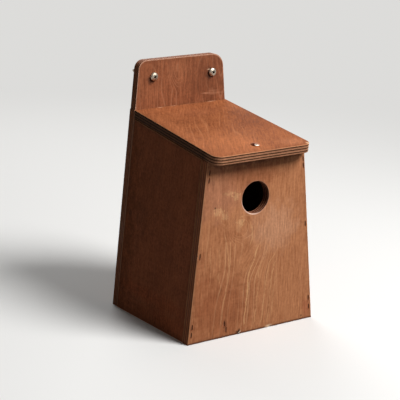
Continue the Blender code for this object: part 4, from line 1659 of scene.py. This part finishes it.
studio = {
    "floorSize": 14.0,
    "floorDrop": 0.0001,
    "contact": 0.0006,
    "floorTone": (0.80, 0.795, 0.78),
    "bounceTone": (0.20, 0.20, 0.20),
    "farTone": (0.72, 0.715, 0.70),
    "farFrom": 0.25,
    "farTo": 1.1,
    "skyTone": (0.80, 0.80, 0.79),
    "glossSky": 0.30,
    "fill": 0.10,
    "fillBelow": 0.25,
    "fillFull": -0.1,  # how far downwards a ray points where the sky is at its brightest
    "keyFrom": (0.36, -0.66, 0.86),
    "keyDistance": 1.7,
    "keySize": 0.80,
    "keyPower": 38.0,
    "rearFrom": (0.30, 0.85, 0.45),
    "rearPower": 14.0,
    "rearSize": 1.1,
    "target": (0.0, -0.07, -0.11),
}
reach, level = studio["floorSize"] / 2, footLevel - studio["floorDrop"]
rim = [(-reach, -reach, level), (reach, -reach, level), (reach, reach, level), (-reach, reach, level)]
floorMesh = meshOf("studioFloor", rim, [(0, 1, 2, 3)])
floorMaterial, g = newMaterial("studioFloor")
path = g.add("ShaderNodeLightPath")
seen = g.maths("MINIMUM", path.out("Is Camera Ray") + path.out("Is Glossy Ray"), 1.0)
shown = g.add("ShaderNodeBsdfDiffuse", {}, {"Color": tint(studio["floorTone"])})
bounced = g.add("ShaderNodeBsdfDiffuse", {}, {"Color": tint(studio["bounceTone"])})
# far from the object the lamps fade, so the floor shows its own even tone there
flat = g.vector("MULTIPLY", g.add("ShaderNodeTexCoord", {}, {}, "Object"), (1, 1, 0))
distance = g.length(flat)
even = g.add("ShaderNodeEmission", {}, {"Color": tint(studio["farTone"]), "Strength": 1.0})
share = g.ease(distance, studio["farFrom"], studio["farTo"])
shown = g.add("ShaderNodeMixShader", {}, {0: share, 1: shown, 2: even})
both = g.add("ShaderNodeMixShader", {}, {0: seen, 1: bounced, 2: shown})
# from below the floor is clear, and the foot that stands on it gets some light
clear = g.add("ShaderNodeBsdfTransparent")
touching = g.maths("LESS_THAN", path.out("Ray Length"), studio["contact"])
under = g.maths("MAXIMUM", g.add("ShaderNodeNewGeometry", {}, {}, "Backfacing"), touching)
endMaterial(g, g.add("ShaderNodeMixShader", {}, {0: under, 1: both, 2: clear}))
floorMesh.materials.append(floorMaterial)
studioFloor = addObject("studioFloor", floorMesh)

world = bpy.data.worlds.new("studioWorld")
scene.world = world
world.use_nodes = True
world.node_tree.nodes.clear()
g = Graph(world.node_tree)
path = g.add("ShaderNodeLightPath")
toSky = g.split(g.add("ShaderNodeTexCoord", {}, {}, "Generated"))[2]
fill = g.ease(toSky, 0.0, studio["fillFull"], studio["fill"], studio["fillBelow"])
strength = path.out("Is Camera Ray") * 1.0 + path.out("Is Glossy Ray") * studio["glossSky"]
strength = g.maths("MAXIMUM", strength, fill)
tone = g.mix(path.out("Is Camera Ray"), tint(studio["skyTone"]), tint(studio["farTone"]))
sky = g.add("ShaderNodeBackground", {}, {"Color": tone, "Strength": strength})
g.add("ShaderNodeOutputWorld", {}, {"Surface": sky})


def addLamp(name, direction, distance, size, power):
    data = bpy.data.lights.new(name, "AREA")
    data.shape = "DISK"
    data.size = size
    data.energy = power
    lamp = addObject(name, data)
    toLamp = Vector(direction).normalized()
    lamp.location = Vector(studio["target"]) + toLamp * distance
    lamp.rotation_euler = toLamp.to_track_quat("Z", "Y").to_euler()
    lamp.visible_camera = False


addLamp("key", studio["keyFrom"], studio["keyDistance"], studio["keySize"], studio["keyPower"])
addLamp("rear", studio["rearFrom"], studio["keyDistance"], studio["rearSize"], studio["rearPower"])

# Camera, where the photograph was taken from

shot = {
    "place": (-0.82904, -1.21428, 0.27684),
    "turn": math.radians(-35.37),
    "elevation": math.radians(15.65),
    "roll": math.radians(1.34),
    "lens": 131.54,
    "sensor": 36.0,
}
turn, rise, roll = shot["turn"], shot["elevation"], shot["roll"]
backward = Vector((math.sin(turn) * math.cos(rise), -math.cos(turn) * math.cos(rise), math.sin(rise)))
rightward = Vector((math.cos(turn), math.sin(turn), 0))
upward = backward.cross(rightward)
cameraX = rightward * math.cos(roll) + upward * math.sin(roll)
cameraY = upward * math.cos(roll) - rightward * math.sin(roll)
cameraData = bpy.data.cameras.new("camera")
cameraData.lens = shot["lens"]
cameraData.sensor_width = shot["sensor"]
camera = addObject("camera", cameraData)
camera.matrix_world = placed(shot["place"], cameraX, cameraY, backward)
scene.camera = camera
scene.view_settings.view_transform = "Standard"
print("studio and camera set")
